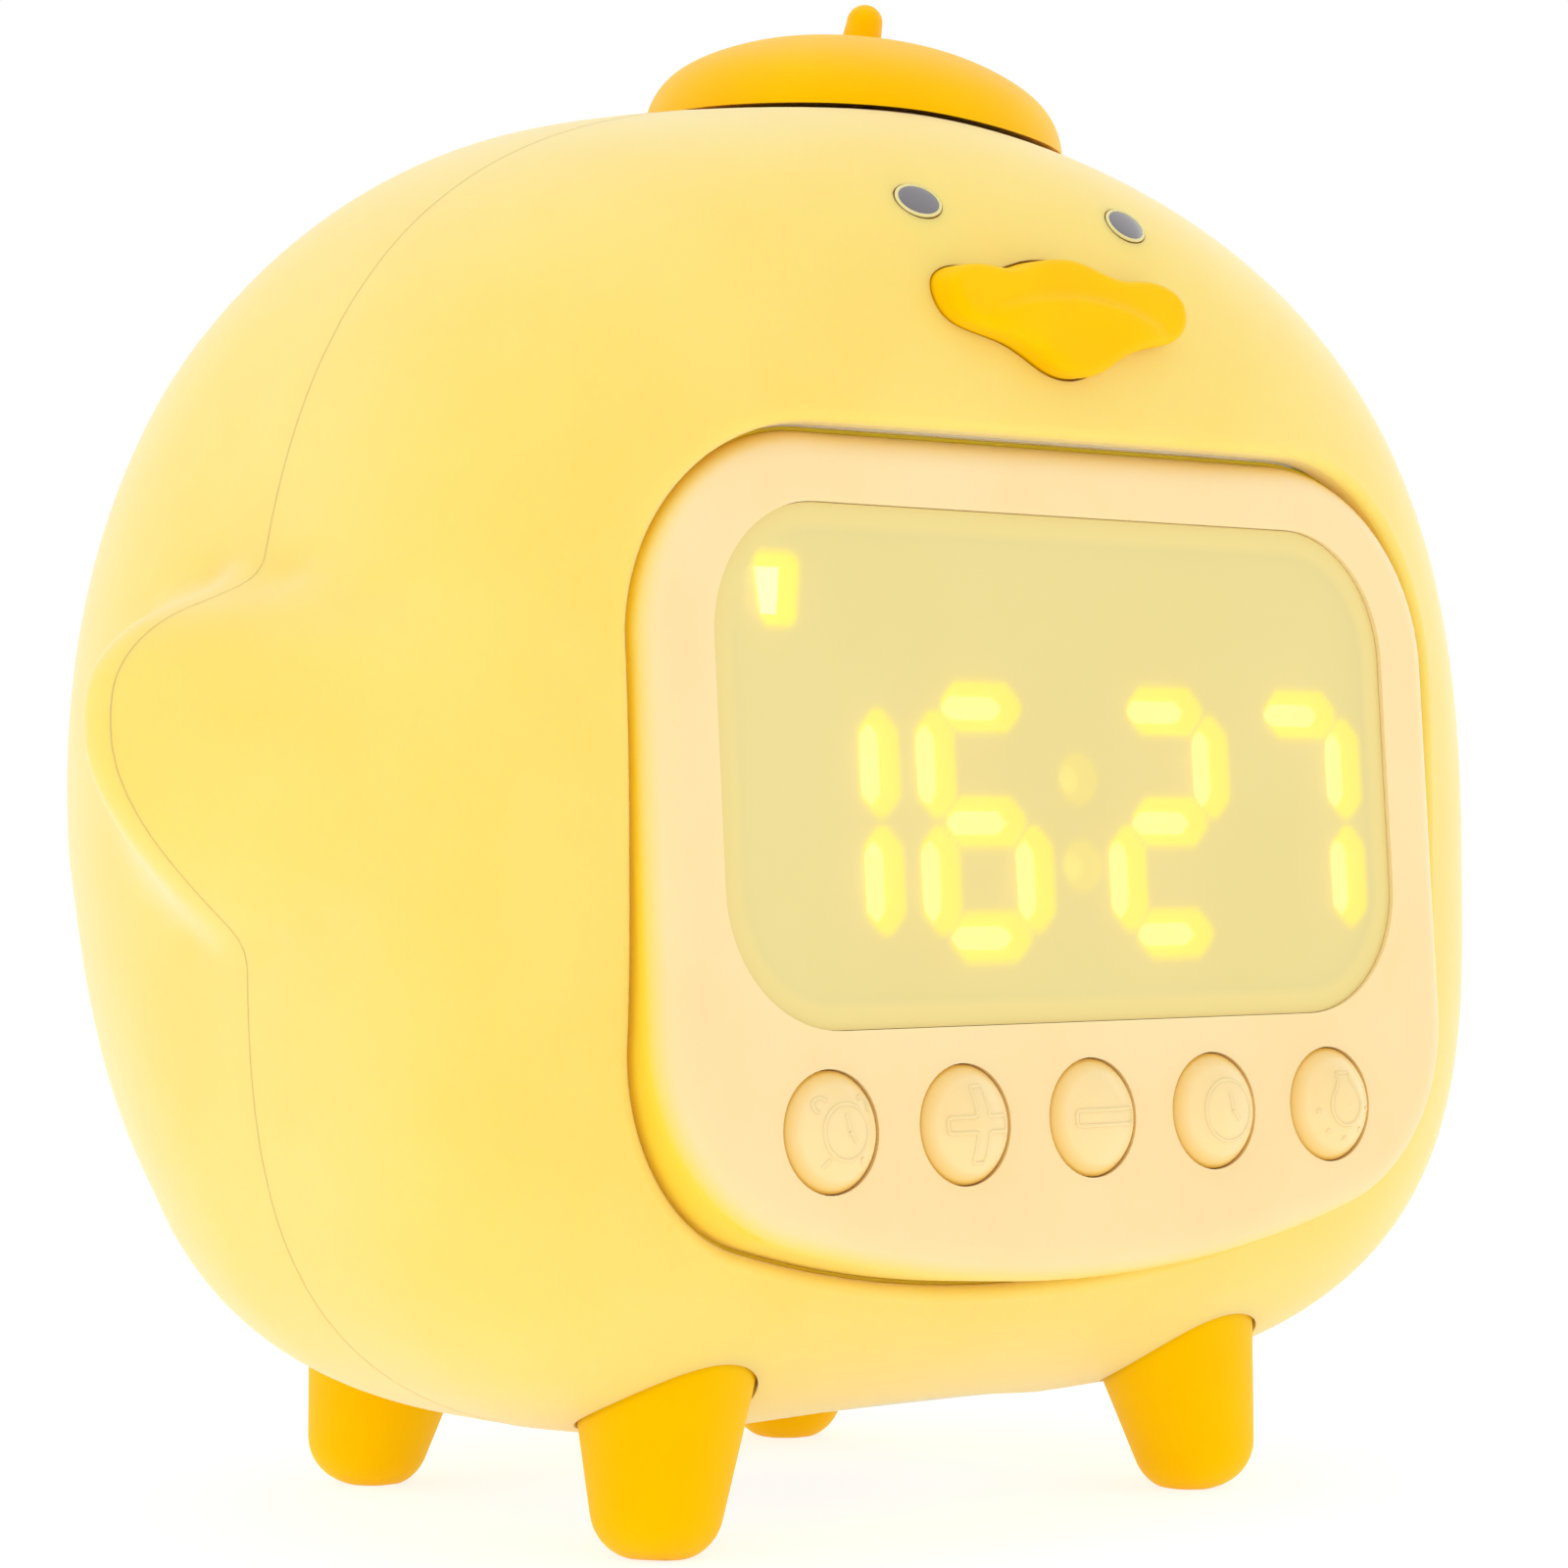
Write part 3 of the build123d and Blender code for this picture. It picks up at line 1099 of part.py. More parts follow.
def night_leds():
    """Six warm LEDs on the light board."""
    face = LIGHT_BOARD_Y + BOARD
    leds = []
    for column in (-1, 0, 1):
        for row in (-1, 1):
            x = column * NIGHT_LED_ACROSS
            z = LIGHT_BOARD_Z + row * NIGHT_LED_ROW
            leds.append(block((x - NIGHT_LED / 2, x + NIGHT_LED / 2), (face, face + NIGHT_LED_HEIGHT),
                              (z - NIGHT_LED / 2, z + NIGHT_LED / 2)))
    return Compound(leds)


def light_diffuser():
    """The milky cap over the LEDs, between the board's corner screws."""
    face = LIGHT_BOARD_Y + BOARD
    width = LIGHT_BOARD_WIDTH - 2 * DIFFUSER_SIDE
    height = LIGHT_BOARD_HEIGHT - 2 * DIFFUSER_EDGE
    outer = block((-width / 2, width / 2), (face, face + DIFFUSER_DEPTH),
                  (LIGHT_BOARD_Z - height / 2, LIGHT_BOARD_Z + height / 2))
    outer = fillet(outer.faces().sort_by(Axis.Y)[-1].edges(), DIFFUSER_ROUND)
    wall = DIFFUSER_WALL
    inner = block((-width / 2 + wall, width / 2 - wall), (face, face + DIFFUSER_DEPTH - wall),
                  (LIGHT_BOARD_Z - height / 2 + wall, LIGHT_BOARD_Z + height / 2 - wall))
    inner = fillet(inner.faces().sort_by(Axis.Y)[-1].edges(), DIFFUSER_ROUND - wall)
    return one(outer - inner)


def small_screws():
    """The small screws of the bezel, the boards and the light board."""
    board_back = FRONT_BOARD_FACE - BOARD
    ledge_back = -BEZEL_DEPTH - LEDGE_THICKNESS
    screws = [face_screw(u, v, board_back) for u, v in pairs(SHORT_BOSSES)]
    screws += [face_screw(u, v, ledge_back) for u, v in pairs(LONG_BOSSES)]
    face = LIGHT_BOARD_Y + BOARD
    for x, z in light_board_corners():
        shank = y_bar(x, z, SCREW_RADIUS, face - SCREW_LENGTH, face)
        screws.append(one(shank + y_bar(x, z, SCREW_HEAD_RADIUS, face, face + SCREW_HEAD)))
    return Compound(screws)


# ---------------------------------------------------------------- wiring
def wire(points):
    """An insulated lead: straight runs joined by tangent arcs as large as the runs allow."""
    radii = []
    for i in range(1, len(points) - 1):
        run_in = points[i] - points[i - 1]
        run_out = points[i + 1] - points[i]
        half_turn = radians(run_in.get_angle(run_out)) / 2
        shorter = min(run_in.length, run_out.length)
        radii.append(0.45 * shorter * cos(half_turn) / sin(half_turn))
    path = FilletPolyline(*points, radius=radii)
    start = Plane(origin=points[0], z_dir=(points[1] - points[0]))
    return one(sweep(start * Circle(WIRE_RADIUS), path=path))


def board_point(u, v, w):
    return FACE.from_local_coords(Vector(u, v, w))


def display_cable():
    """From the back of the front board, through the bulkhead's slot, to the main board."""
    back = FRONT_BOARD_FACE - BOARD
    start = board_point(DISPLAY_SLOT_X, SLOT_Z - FACE_Z, back)
    slot = Vector(DISPLAY_SLOT_X, EGG_Y + BULKHEAD / 2, SLOT_Z)
    end = Vector(DISPLAY_SLOT_X + 5, EGG_Y + MAIN_BOARD_FRONT + 6, SOCKET_Z)
    out = board_point(DISPLAY_SLOT_X, SLOT_Z - FACE_Z, back - 8)
    return wire([start, out, slot + Vector(0, -8, 0.6), slot + Vector(2, 6, 0.3),
                 end + Vector(0, 0, 4), end])


def speaker_leads():
    """From the speaker's magnet, up through the bay, down to the main board."""
    top = SHELF_TOP_Z + SPEAKER_HEIGHT
    y_end = EGG_Y + MAIN_BOARD_FRONT + 4
    leads = []
    for x in (-2, 2):
        leads.append(wire([Vector(x, SPEAKER_Y, top), Vector(x, SPEAKER_Y, top + 5),
                           Vector(x, (SPEAKER_Y + y_end) / 2, top + 8.2),
                           Vector(x, y_end, top + 7.6), Vector(x, y_end, SOCKET_Z)]))
    return Compound(leads)


def battery_leads():
    """From the holder's end, through the bulkhead's slot, to the main board."""
    end_x = CELL_LENGTH / 2 + CELL_GAP + HOLDER_END
    leads = []
    for step in (0, 3.0):
        start = Vector(end_x, CELL_Y + step, CELL_Z - 6)
        end = Vector(MAIN_BOARD_HALF_WIDTH - 5 - step, EGG_Y + 15, SOCKET_Z)
        leads.append(wire([start, start + Vector(4, 0, 0),
                           Vector(end_x + 4.5 - step, EGG_Y - 7, SLOT_Z + 2.5),
                           Vector(BATTERY_SLOT_X + 1.5 - step, EGG_Y + 3, SLOT_Z),
                           Vector(MAIN_BOARD_HALF_WIDTH - step, EGG_Y + 12, SLOT_Z + 1.5),
                           end + Vector(0, 0, 4), end]))
    return Compound(leads)


# ---------------------------------------------------------------- every piece by name
def pieces():
    core_front, core_rear = core_halves()
    nodes = {
        "silicone_skin": silicone_skin(),
        "core_front_shell": core_front,
        "core_rear_shell": core_rear,
        "chassis": chassis(),
        "base_cover": base_cover(),
        "display_bezel": display_bezel(),
        "display_lens": display_lens(),
        "light_guide": light_guide(),
        "lit_segments": inlay(shown_bars(True)),
        "unlit_segments": inlay(shown_bars(False)),
        "colon_dots": inlay(colon_faces()),
        "alarm_indicator": inlay([indicator_face()]),
        "front_board": front_board(),
        "segment_leds": segment_leds(),
        "tact_switches": tact_switches(),
        "beret_key": beret_key(),
        "beret_retainer": beret_retainer(),
        "top_board": top_board(),
        "snooze_switch": snooze_switch(),
        "beak": beak(),
        "eyes": Compound([one(eye(side)) for side in (-1, 1)]),
        "speaker": speaker(),
        "speaker_ring": speaker_ring(),
        "battery_cell": battery_cell(),
        "battery_holder": battery_holder(),
        "main_board": main_board(),
        "main_chips": main_chips(),
        "usb_socket": usb_socket(),
        "port_frame": port_frame(),
        "light_board": light_board(),
        "night_leds": night_leds(),
        "light_diffuser": light_diffuser(),
        "core_screws": core_screws(),
        "foot_screws": Compound([foot_screw(x, y) for x, y in FEET.values()]),
        "small_screws": small_screws(),
        "display_cable": display_cable(),
        "speaker_leads": speaker_leads(),
        "battery_leads": battery_leads(),
    }
    for name, (u, v) in zip(KEY_NAMES, key_places()):
        nodes[name] = push_key(u, v)
    for name, (x, y) in FEET.items():
        nodes[name] = foot(x, y)
    return nodes


os.makedirs("parts", exist_ok=True)
for name, shape in pieces().items():
    export_step(shape, f"parts/{name}.step")
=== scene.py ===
import json
from math import atan2, cos, exp, hypot, pi, radians, sin

import bpy
from mathutils import Matrix, Vector
from mathutils.bvhtree import BVHTree


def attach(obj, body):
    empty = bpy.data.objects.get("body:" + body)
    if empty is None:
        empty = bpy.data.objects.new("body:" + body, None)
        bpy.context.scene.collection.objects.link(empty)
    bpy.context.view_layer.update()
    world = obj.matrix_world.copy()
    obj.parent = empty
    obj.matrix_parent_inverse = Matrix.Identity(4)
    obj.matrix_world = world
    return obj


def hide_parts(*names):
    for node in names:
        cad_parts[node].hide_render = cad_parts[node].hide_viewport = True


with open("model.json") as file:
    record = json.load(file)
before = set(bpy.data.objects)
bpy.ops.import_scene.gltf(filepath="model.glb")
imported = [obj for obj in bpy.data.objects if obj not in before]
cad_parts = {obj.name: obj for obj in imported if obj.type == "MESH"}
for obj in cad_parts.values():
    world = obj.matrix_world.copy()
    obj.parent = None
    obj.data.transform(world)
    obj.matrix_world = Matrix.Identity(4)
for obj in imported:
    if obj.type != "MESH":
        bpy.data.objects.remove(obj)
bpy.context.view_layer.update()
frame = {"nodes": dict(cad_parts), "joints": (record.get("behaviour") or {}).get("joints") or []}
nodes = frame["nodes"]
MM = 0.001

# ---- the camera: where it stands, how it is turned, and its lens
CAMERA_PLACE = (-252.51, -309.37, 58.40)     # mm
CAMERA_YAW = 40.007                          # degrees from +Y towards +X
CAMERA_PITCH = 0.586                         # degrees above the horizon
CAMERA_LENS = 102.146                        # mm on a sensor 36 mm wide
SENSOR = 36.0

# ---- the face's own directions, from the way its keys are pressed
PRESS = Vector(next(j["axis"] for j in frame["joints"] if j["child"] == "key_plus")).normalized()
OUT = -PRESS
RIGHT = Vector((1, 0, 0))
UP = OUT.cross(RIGHT)

# ---- for all pieces
MERGE = 0.002                                # mm between points that count as one
SMOOTH_ANGLE = 60                            # degrees: an edge sharper than this stays sharp
NOISE_RANGE = (0.35, 0.65)                   # what most of a noise's values lie between

# ---- key signs, in mm and degrees on a key's own face
SIGN_LINE = 0.19                             # radius of the raised line
SIGN_SINK = 0.05                             # how deep that line lies in the key's dome
SIGN_STEP = 0.3                              # between the points that are laid on the dome
SIGN_CORNER = 0.3
SIGN_BAR = 0.62                              # half the width of the plus's and minus's bars
PLUS_REACH = 3.05
CLOCK_RING = 2.55
ALARM_RING = 2.2
HANDS_START = (0, 0.05)
HAND_TIPS = ((-0.12, 1.45), (0.75, -0.85))
BELL, BELL_AT = 0.62, 2.95                   # its radius, and how far out its middle is
BELL_TURNS = (45, 135)
BELL_HALF = 100                              # of its arc, to each side
ALARM_FOOT = (2.6, 3.35)                     # from the middle to a foot's two ends
ALARM_FOOT_TURNS = (-52, -128)
BULB, BULB_MIDDLE = 1.75, (0, -0.1)
BULB_ARC = (-222, 42)
SOCKET_HALF, SOCKET_ENDS = 0.75, (2.0, 2.6)
RAY = (2.75, 3.1)                            # from the middle to a ray's two ends
RAY_TURNS = (-10, -50, -90, -130, -170)

# ---- display, in mm
GLOW_REACH = 0.16                            # how far a lit bar's light spreads in the window
GLOW_FALL = 1.2                              # power by which it fades
GLOW_STRENGTHS = {"lit_segments": 0.06, "colon_dots": 0.02, "alarm_indicator": 0.07}
GLOW_COLOUR = "#FFF000"
GLOW_YELLOW = 0.08                           # the glow at which the film is fully yellow
BAR_LIGHT, COLON_LIGHT, INDICATOR_LIGHT = 8.5, 1.8, 18.0
FILM_CELL = 0.4                              # between the film's mesh lines
FILM_MARGIN = 5.5                            # of film round the bars
FILM_LIFT = 0.04                             # from the window to the film, which is half as thick
FILM_NEAREST = 1.5                           # from the bars up to the film
WINDOW_CORNER = 11.0
WINDOW_BORDER = 1.9                          # of printed border, over the frame's ledge
BORDER_FADE = 0.4                            # to each side of the border's inner edge
WINDOW_BODY = 0.84                           # share of the window that isn't clear, in the border
WINDOW_FRAME = (0.3, 1.0)                    # outside the window, where the frame's painted bounce light starts
PAINTED_BOUNCE_DEPTHS = (-0.5, -2.2)              # from the face's level: no painted bounce light, and all of it
KEY_SHADE_HEIGHTS = (-0.4, 0.9)               # from that level: full painted shade, and no painted shade

# ---- skin, bill, eyes and feet, in mm
MOULD_LINE_Y = -15.06                        # where the skin's mould parts
MOULD_LINE_Z = 60                            # the height from which the line is found
MOULD_LINE = 0.10                            # radius of the line it leaves
MOULD_SINK = 0.07                            # how deep that line's middle lies in the skin
LINE_REACH, LINE_STEP = 80, 0.5              # degrees up and down, and between its points
LINE_OUTSIDE = 120                           # from the middle to a place past the skin
LINE_INNER = 40                              # nothing of the line is nearer to the middle
LINE_LOW_Z, LINE_LOW_X = 14, 27              # the underside's opening
BERET_AT, BERET_REACH = (6.5, -10.5), 20.5   # where the beret covers the skin
BEAD = 0.34                                  # radius of the bead round the display's frame
BEAD_POINTS = 300
BEAD_LEVEL = -6                              # from the face: where the frame's side is found
BEAD_OUTSIDE, BEAD_BEFORE = 80, 50           # places past the frame's side, and before the skin
BEAD_BESIDE = 1.9                            # from the frame's side: where the skin is found
BEAD_DEPTH = 1.0                             # under the skin's own surface
BEAD_TOP = -2.7                              # never nearer to the face than this
GAP_MIDDLE = 0.17                            # from the frame's side to the gap's middle
BILL_CELL = 0.22                             # of the mesh that rounds the bill
BILL_RIDGE_Z = 101.6                         # the ridge's height at the middle
BILL_RIDGE = 0.75                            # how far it stands out
BILL_RIDGE_DROOP = 0.02                      # times the square of the distance from the middle
BILL_RIDGE_ABOVE, BILL_RIDGE_BELOW = 0.5, 2.6    # how far it fades upwards and downwards
BILL_RIDGE_HALF = 10.0                       # from the middle to its end
BILL_FACING = -0.4                           # only what faces forward this much is raised
EYE_RIM = 0.16                               # radius of the pale ring's line
EYE_RIM_INSET = 0.04                         # share of the oval that the ring lies inside it
EYE_DOME = 0.22                              # height of the disc's dome
EYE_SHARE = 0.98                             # of the oval that the disc fills
EYE_FRONT = 0.05                             # points this near the front belong to it
FOOT_CELL = 0.35                             # of the mesh that rounds a foot

# ---- studio
WORLD_LIGHT = 0.9                            # of the surround as light, where it looks like 1
FLOOR_LIFT = 0.3                             # what the floor gives the object
FLOOR_WHITE = 0.74                           # what it adds for the eye, over its own shadow
LAMP_AIM = (0, 0, 60)                        # mm


# ---------------------------------------------------------------- helpers
def deselect():
    if bpy.context.mode != "OBJECT":
        bpy.ops.object.mode_set(mode="OBJECT")
    bpy.ops.object.select_all(action="DESELECT")


def pick(obj):
    """Makes obj the only selected object, and the active one."""
    deselect()
    bpy.context.view_layer.objects.active = obj
    obj.select_set(True)
    return obj


def named(name):
    obj = bpy.context.object
    obj.name = name
    obj.data.name = name
    return obj


def settle(obj):
    """Puts the object's place and turn into its mesh."""
    pick(obj)
    bpy.ops.object.transform_apply(location=True, rotation=True, scale=True)
    return obj


def apply_modifier(obj, kind, **settings):
    pick(obj)
    modifier = obj.modifiers.new(kind.title(), kind)
    for key, value in settings.items():
        setattr(modifier, key, value)
    bpy.ops.object.modifier_apply(modifier=modifier.name)
    return obj


def smooth(obj):
    pick(obj)
    bpy.ops.object.shade_smooth_by_angle(angle=radians(SMOOTH_ANGLE))
    return obj


def copy_of(node, name):
    """A merged copy of a CAD node's mesh, without the normals stored in it."""
    obj = nodes[node].copy()
    obj.data = nodes[node].data.copy()
    obj.parent = None
    for key in list(obj.keys()):
        del obj[key]
    bpy.context.scene.collection.objects.link(obj)
    obj.name = name
    obj.data.name = name
    pick(obj)
    bpy.ops.mesh.customdata_custom_splitnormals_clear()
    bpy.ops.object.mode_set(mode="EDIT")
    bpy.ops.mesh.select_all(action="SELECT")
    bpy.ops.mesh.remove_doubles(threshold=MERGE * MM)
    bpy.ops.object.mode_set(mode="OBJECT")
    return obj


def join(objs, name):
    deselect()
    for obj in objs:
        obj.select_set(True)
    bpy.context.view_layer.objects.active = objs[0]
    if len(objs) > 1:
        bpy.ops.object.join()
    return named(name)


def in_face(point):
    """A point's u, v and w: right, up and out of the face, in metres."""
    point = Vector(point)
    return Vector((point.dot(RIGHT), point.dot(UP), point.dot(OUT)))


def from_face(u, v, w):
    return RIGHT * u + UP * v + OUT * w


def face_box(node):
    """Lowest and highest u, v and w of a CAD node."""
    spots = [in_face(vertex.co) for vertex in nodes[node].data.vertices]
    low = Vector([min(spot[i] for spot in spots) for i in range(3)])
    high = Vector([max(spot[i] for spot in spots) for i in range(3)])
    return low, high


def finish_piece(obj, body, material, replaced=()):
    """Gives a finished piece its material, its body and what it stands for."""
    obj.data.materials.clear()
    obj.data.materials.append(material)
    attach(obj, body)
    if replaced:
        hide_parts(*replaced)
    return obj


FACE_LEVEL = face_box("display_bezel")[1].z


# ---------------------------------------------------------------- material helpers
def linear(code):
    """An sRGB hex code as linear RGBA."""
    parts = [int(code[i:i + 2], 16) / 255 for i in (1, 3, 5)]
    return tuple(p / 12.92 if p <= 0.04045 else ((p + 0.055) / 1.055) ** 2.4 for p in parts) + (1,)


def add(tree, kind, links=None, **settings):
    """Adds a node. links gives a socket's value, or another node's output to join to it."""
    made = tree.nodes.new(kind)
    for key, value in settings.items():
        setattr(made, key, value)
    for socket, value in (links or {}).items():
        if isinstance(value, bpy.types.NodeSocket):
            tree.links.new(value, made.inputs[socket])
        else:
            made.inputs[socket].default_value = value
    return made


def material(name):
    """A new material and its tree, with only an output in it."""
    made = bpy.data.materials.new(name)
    made.use_nodes = True
    made.node_tree.nodes.clear()
    output = made.node_tree.nodes.new("ShaderNodeOutputMaterial")
    return made, made.node_tree, output


def surface(tree, output, shader):
    tree.links.new(shader, output.inputs["Surface"])


def grain(tree, size_mm, detail=2.0):
    """A noise whose cells are about size_mm across, on the piece's own coordinates."""
    place = add(tree, "ShaderNodeTexCoord")
    return add(tree, "ShaderNodeTexNoise", {
        "Vector": place.outputs["Object"], "Scale": 1 / (size_mm * MM), "Detail": detail})


def varied(tree, noise, low, high):
    """The noise brought to run from low to high."""
    return add(tree, "ShaderNodeMapRange", {
        "Value": noise.outputs["Fac"], "From Min": NOISE_RANGE[0],
        "From Max": NOISE_RANGE[1], "To Min": low, "To Max": high}).outputs["Result"]


def tinted(tree, noise, first, second):
    """A colour between two near ones, by the noise."""
    share = varied(tree, noise, 0, 1)
    return add(tree, "ShaderNodeMix", {"Factor": share, "A": linear(first), "B": linear(second)},
               data_type="RGBA").outputs["Result"]


def bumped(tree, noise, height_mm):
    return add(tree, "ShaderNodeBump", {
        "Height": noise.outputs["Fac"], "Distance": height_mm * MM, "Strength": 1.0}
    ).outputs["Normal"]


def along(tree, place, direction):
    """How far a place lies along a direction."""
    return add(tree, "ShaderNodeVectorMath", {0: place.outputs["Object"], 1: tuple(direction)},
               operation="DOT_PRODUCT").outputs["Value"]


def reckon(tree, kind, first, second=0.0):
    return add(tree, "ShaderNodeMath", {0: first, 1: second}, operation=kind).outputs[0]


def from_window(tree, place):
    """How many mm a place on the face lies outside the window's outline."""
    low, high = face_box("display_lens")
    middle, half = (low + high) / 2, (high - low) / 2
    corner = WINDOW_CORNER * MM
    reaches = []
    for direction, axis in ((RIGHT, 0), (UP, 1)):
        away = reckon(tree, "ABSOLUTE", reckon(tree, "SUBTRACT", along(tree, place, direction),
                                               middle[axis]))
        away = reckon(tree, "SUBTRACT", away, half[axis] - corner)
        reaches.append(reckon(tree, "MAXIMUM", away, 0.0))
    squares = [reckon(tree, "MULTIPLY", r, r) for r in reaches]
    away = reckon(tree, "SQRT", reckon(tree, "ADD", *squares))
    return reckon(tree, "DIVIDE", reckon(tree, "SUBTRACT", away, corner), MM)


def ramp(tree, value, start, end):
    return add(tree, "ShaderNodeMapRange", {"Value": value, "From Min": start, "From Max": end,
                                            "To Min": 0, "To Max": 1}).outputs["Result"]


def painted_bounce_share(tree):
    """Painted bounce light and shade: 1 on the frame's rolled outer edge and in the key holes, 0 on
    its face and at the window.
    """
    place = add(tree, "ShaderNodeTexCoord")
    depth = reckon(tree, "SUBTRACT", along(tree, place, OUT), FACE_LEVEL)
    sunk = ramp(tree, depth, PAINTED_BOUNCE_DEPTHS[0] * MM, PAINTED_BOUNCE_DEPTHS[1] * MM)
    return reckon(tree, "MULTIPLY", sunk, ramp(tree, from_window(tree, place), *WINDOW_FRAME))


def painted_key_shade_share(tree):
    """Painted shade in the gap round a key: 1 where a key comes out of the frame, 0 on its dome."""
    place = add(tree, "ShaderNodeTexCoord")
    height = reckon(tree, "SUBTRACT", along(tree, place, OUT), FACE_LEVEL)
    return ramp(tree, height, KEY_SHADE_HEIGHTS[1] * MM, KEY_SHADE_HEIGHTS[0] * MM)


def moulded(name, first, second, rough=(0.4, 0.5), grain_mm=0.35, grain_height=0.004,
            cloud_mm=14.0, painted_bounce_tint=None, painted_key_shade=None, **fixed):
    """A moulded plastic or rubber: a faint cloud in its colour and a fine blasted grain."""
    made, tree, output = material(name)
    cloud = grain(tree, cloud_mm)
    fine = grain(tree, grain_mm, detail=3.0)
    colour = tinted(tree, cloud, first, second)
    # Painted light: the frame's recesses turn a deeper yellow, standing in for light bounced and
    # shade falling in them.
    if painted_bounce_tint:
        colour = add(tree, "ShaderNodeMix", {"Factor": painted_bounce_share(tree), "A": colour,
                                             "B": linear(painted_bounce_tint)},
                     data_type="RGBA").outputs["Result"]
    # Painted shade: a key turns darker golden where it comes out of the frame.
    if painted_key_shade:
        colour = add(tree, "ShaderNodeMix", {"Factor": painted_key_shade_share(tree), "A": colour,
                                             "B": linear(painted_key_shade)},
                     data_type="RGBA").outputs["Result"]
    links = {"Base Color": colour,
             "Roughness": varied(tree, fine, *rough),
             "Normal": bumped(tree, fine, grain_height)}
    links.update(fixed)
    shader = add(tree, "ShaderNodeBsdfPrincipled", links)
    surface(tree, output, shader.outputs["BSDF"])
    return made


# ---------------------------------------------------------------- materials
# Platinum silicone, cast in a blasted mould: soft satin, light goes into it, pale at its edges.
silicone_yellow = moulded("silicone_pale_yellow", "#FEDA66", "#FEDD6E", rough=(0.46, 0.54),
                          grain_mm=0.4, grain_height=0.003,
                          **{"Subsurface Weight": 0.45, "Subsurface Radius": (1.0, 0.75, 0.22),
                             "Subsurface Scale": 3.0 * MM, "IOR": 1.43, "Sheen Weight": 0.5,
                             "Sheen Roughness": 0.5})
# The same silicone with a strong orange yellow pigment, firmer and less see-through.
silicone_orange = moulded("silicone_orange_yellow", "#FFC400", "#FFCA00", rough=(0.5, 0.58),
                          grain_mm=0.4, grain_height=0.003,
                          **{"Subsurface Weight": 0.3, "Subsurface Radius": (1.0, 0.5, 0.02),
                             "Subsurface Scale": 1.5 * MM, "IOR": 1.43,
                             "Specular IOR Level": 0.3, "Specular Tint": (1, 0.75, 0, 1)})
# The bead in the gap round the display's frame, between the two: its deep yellow is painted light,
# standing in for the light bounced inside the gap.
painted_gap_light = moulded("painted_gap_light_yellow", "#FFD51E", "#FFD928", rough=(0.5, 0.58),
                        grain_mm=0.4, grain_height=0.003,
                        **{"Subsurface Weight": 0.4, "Subsurface Radius": (1.0, 0.7, 0.05),
                           "Subsurface Scale": 1.5 * MM, "IOR": 1.43})
# ABS from a fine-textured mould: cream, a soft gloss; its rolled edge and key holes are painted
# deeper yellow, as painted bounce light and shade.
abs_cream = moulded("abs_cream", "#FBDDA0", "#FCE0A6", rough=(0.38, 0.46), grain_height=0.002,
                    painted_bounce_tint="#FFD82E",
                    **{"Subsurface Weight": 0.2, "Subsurface Radius": (1.0, 0.75, 0.35),
                       "Subsurface Scale": 1.2 * MM, "IOR": 1.53, "Sheen Weight": 0.15,
                       "Sheen Roughness": 0.5})
# The same ABS from a polished cavity, as the keys are: a clear small highlight. Each key is painted
# darker golden where it comes out of the frame, as painted shade.
abs_key = moulded("abs_cream_polished", "#FBDD9C", "#FCE0A3", rough=(0.2, 0.26),
                  grain_height=0.0008, cloud_mm=6.0, painted_key_shade="#EFC04A",
                  **{"Subsurface Weight": 0.2, "Subsurface Radius": (1.0, 0.75, 0.35),
                     "Subsurface Scale": 1.2 * MM, "IOR": 1.53})
# The beret's ABS, satin, in the orange of the feet.
abs_orange = moulded("abs_orange_yellow", "#FFBE00", "#FFC400", rough=(0.42, 0.5),
                     grain_height=0.002,
                     **{"Subsurface Weight": 0.2, "Subsurface Radius": (1.0, 0.5, 0.02),
                        "Subsurface Scale": 1.0 * MM, "IOR": 1.53,
                        "Specular IOR Level": 0.35, "Specular Tint": (1, 0.8, 0, 1),
                        "Sheen Weight": 0.1, "Sheen Roughness": 0.4,
                        "Sheen Tint": (1, 0.85, 0.3, 1)})
# Milky polycarbonate of the inner shells and the diffuser.
pc_milky = moulded("polycarbonate_milky", "#F6F1E2", "#FAF6EA", rough=(0.3, 0.4),
                   **{"Subsurface Weight": 0.3, "Subsurface Radius": (1.0, 0.95, 0.85),
                      "Subsurface Scale": 2.0 * MM, "IOR": 1.58})
# Ivory ABS of the frame inside and the underside's cover: matt, from a spark-eroded mould.
abs_ivory = moulded("abs_ivory", "#EFE8D2", "#F3ECD8", rough=(0.48, 0.58), grain_mm=0.6,
                    grain_height=0.01, **{"IOR": 1.53})
# Dark grey acrylic discs with a hard gloss.
acrylic_dark = moulded("acrylic_dark_grey", "#453C45", "#4B424B", rough=(0.16, 0.22),
                       grain_height=0.0005, cloud_mm=3.0,
                       **{"IOR": 1.7, "Coat Weight": 1.0, "Coat Roughness": 0.25, "Coat IOR": 1.8})
# The pale ring printed round each disc.
acrylic_pale = moulded("acrylic_pale_rim", "#E6DB93", "#EADF9B", rough=(0.25, 0.32),
                       grain_height=0.0005, cloud_mm=3.0, **{"IOR": 1.49})
# Black moulded epoxy of chips, switches and the speaker's basket.
epoxy_black = moulded("epoxy_black", "#1B1B1D", "#232326", rough=(0.5, 0.65), grain_mm=0.25,
                      grain_height=0.01, cloud_mm=4.0, **{"IOR": 1.55})
# Glass-epoxy laminate under green solder mask: a woven base and a wet gloss.
board_green = moulded("board_green_mask", "#1C5B34", "#236A3E", rough=(0.25, 0.4), grain_mm=0.8,
                      grain_height=0.006, cloud_mm=2.5, **{"IOR": 1.52, "Coat Weight": 0.4})
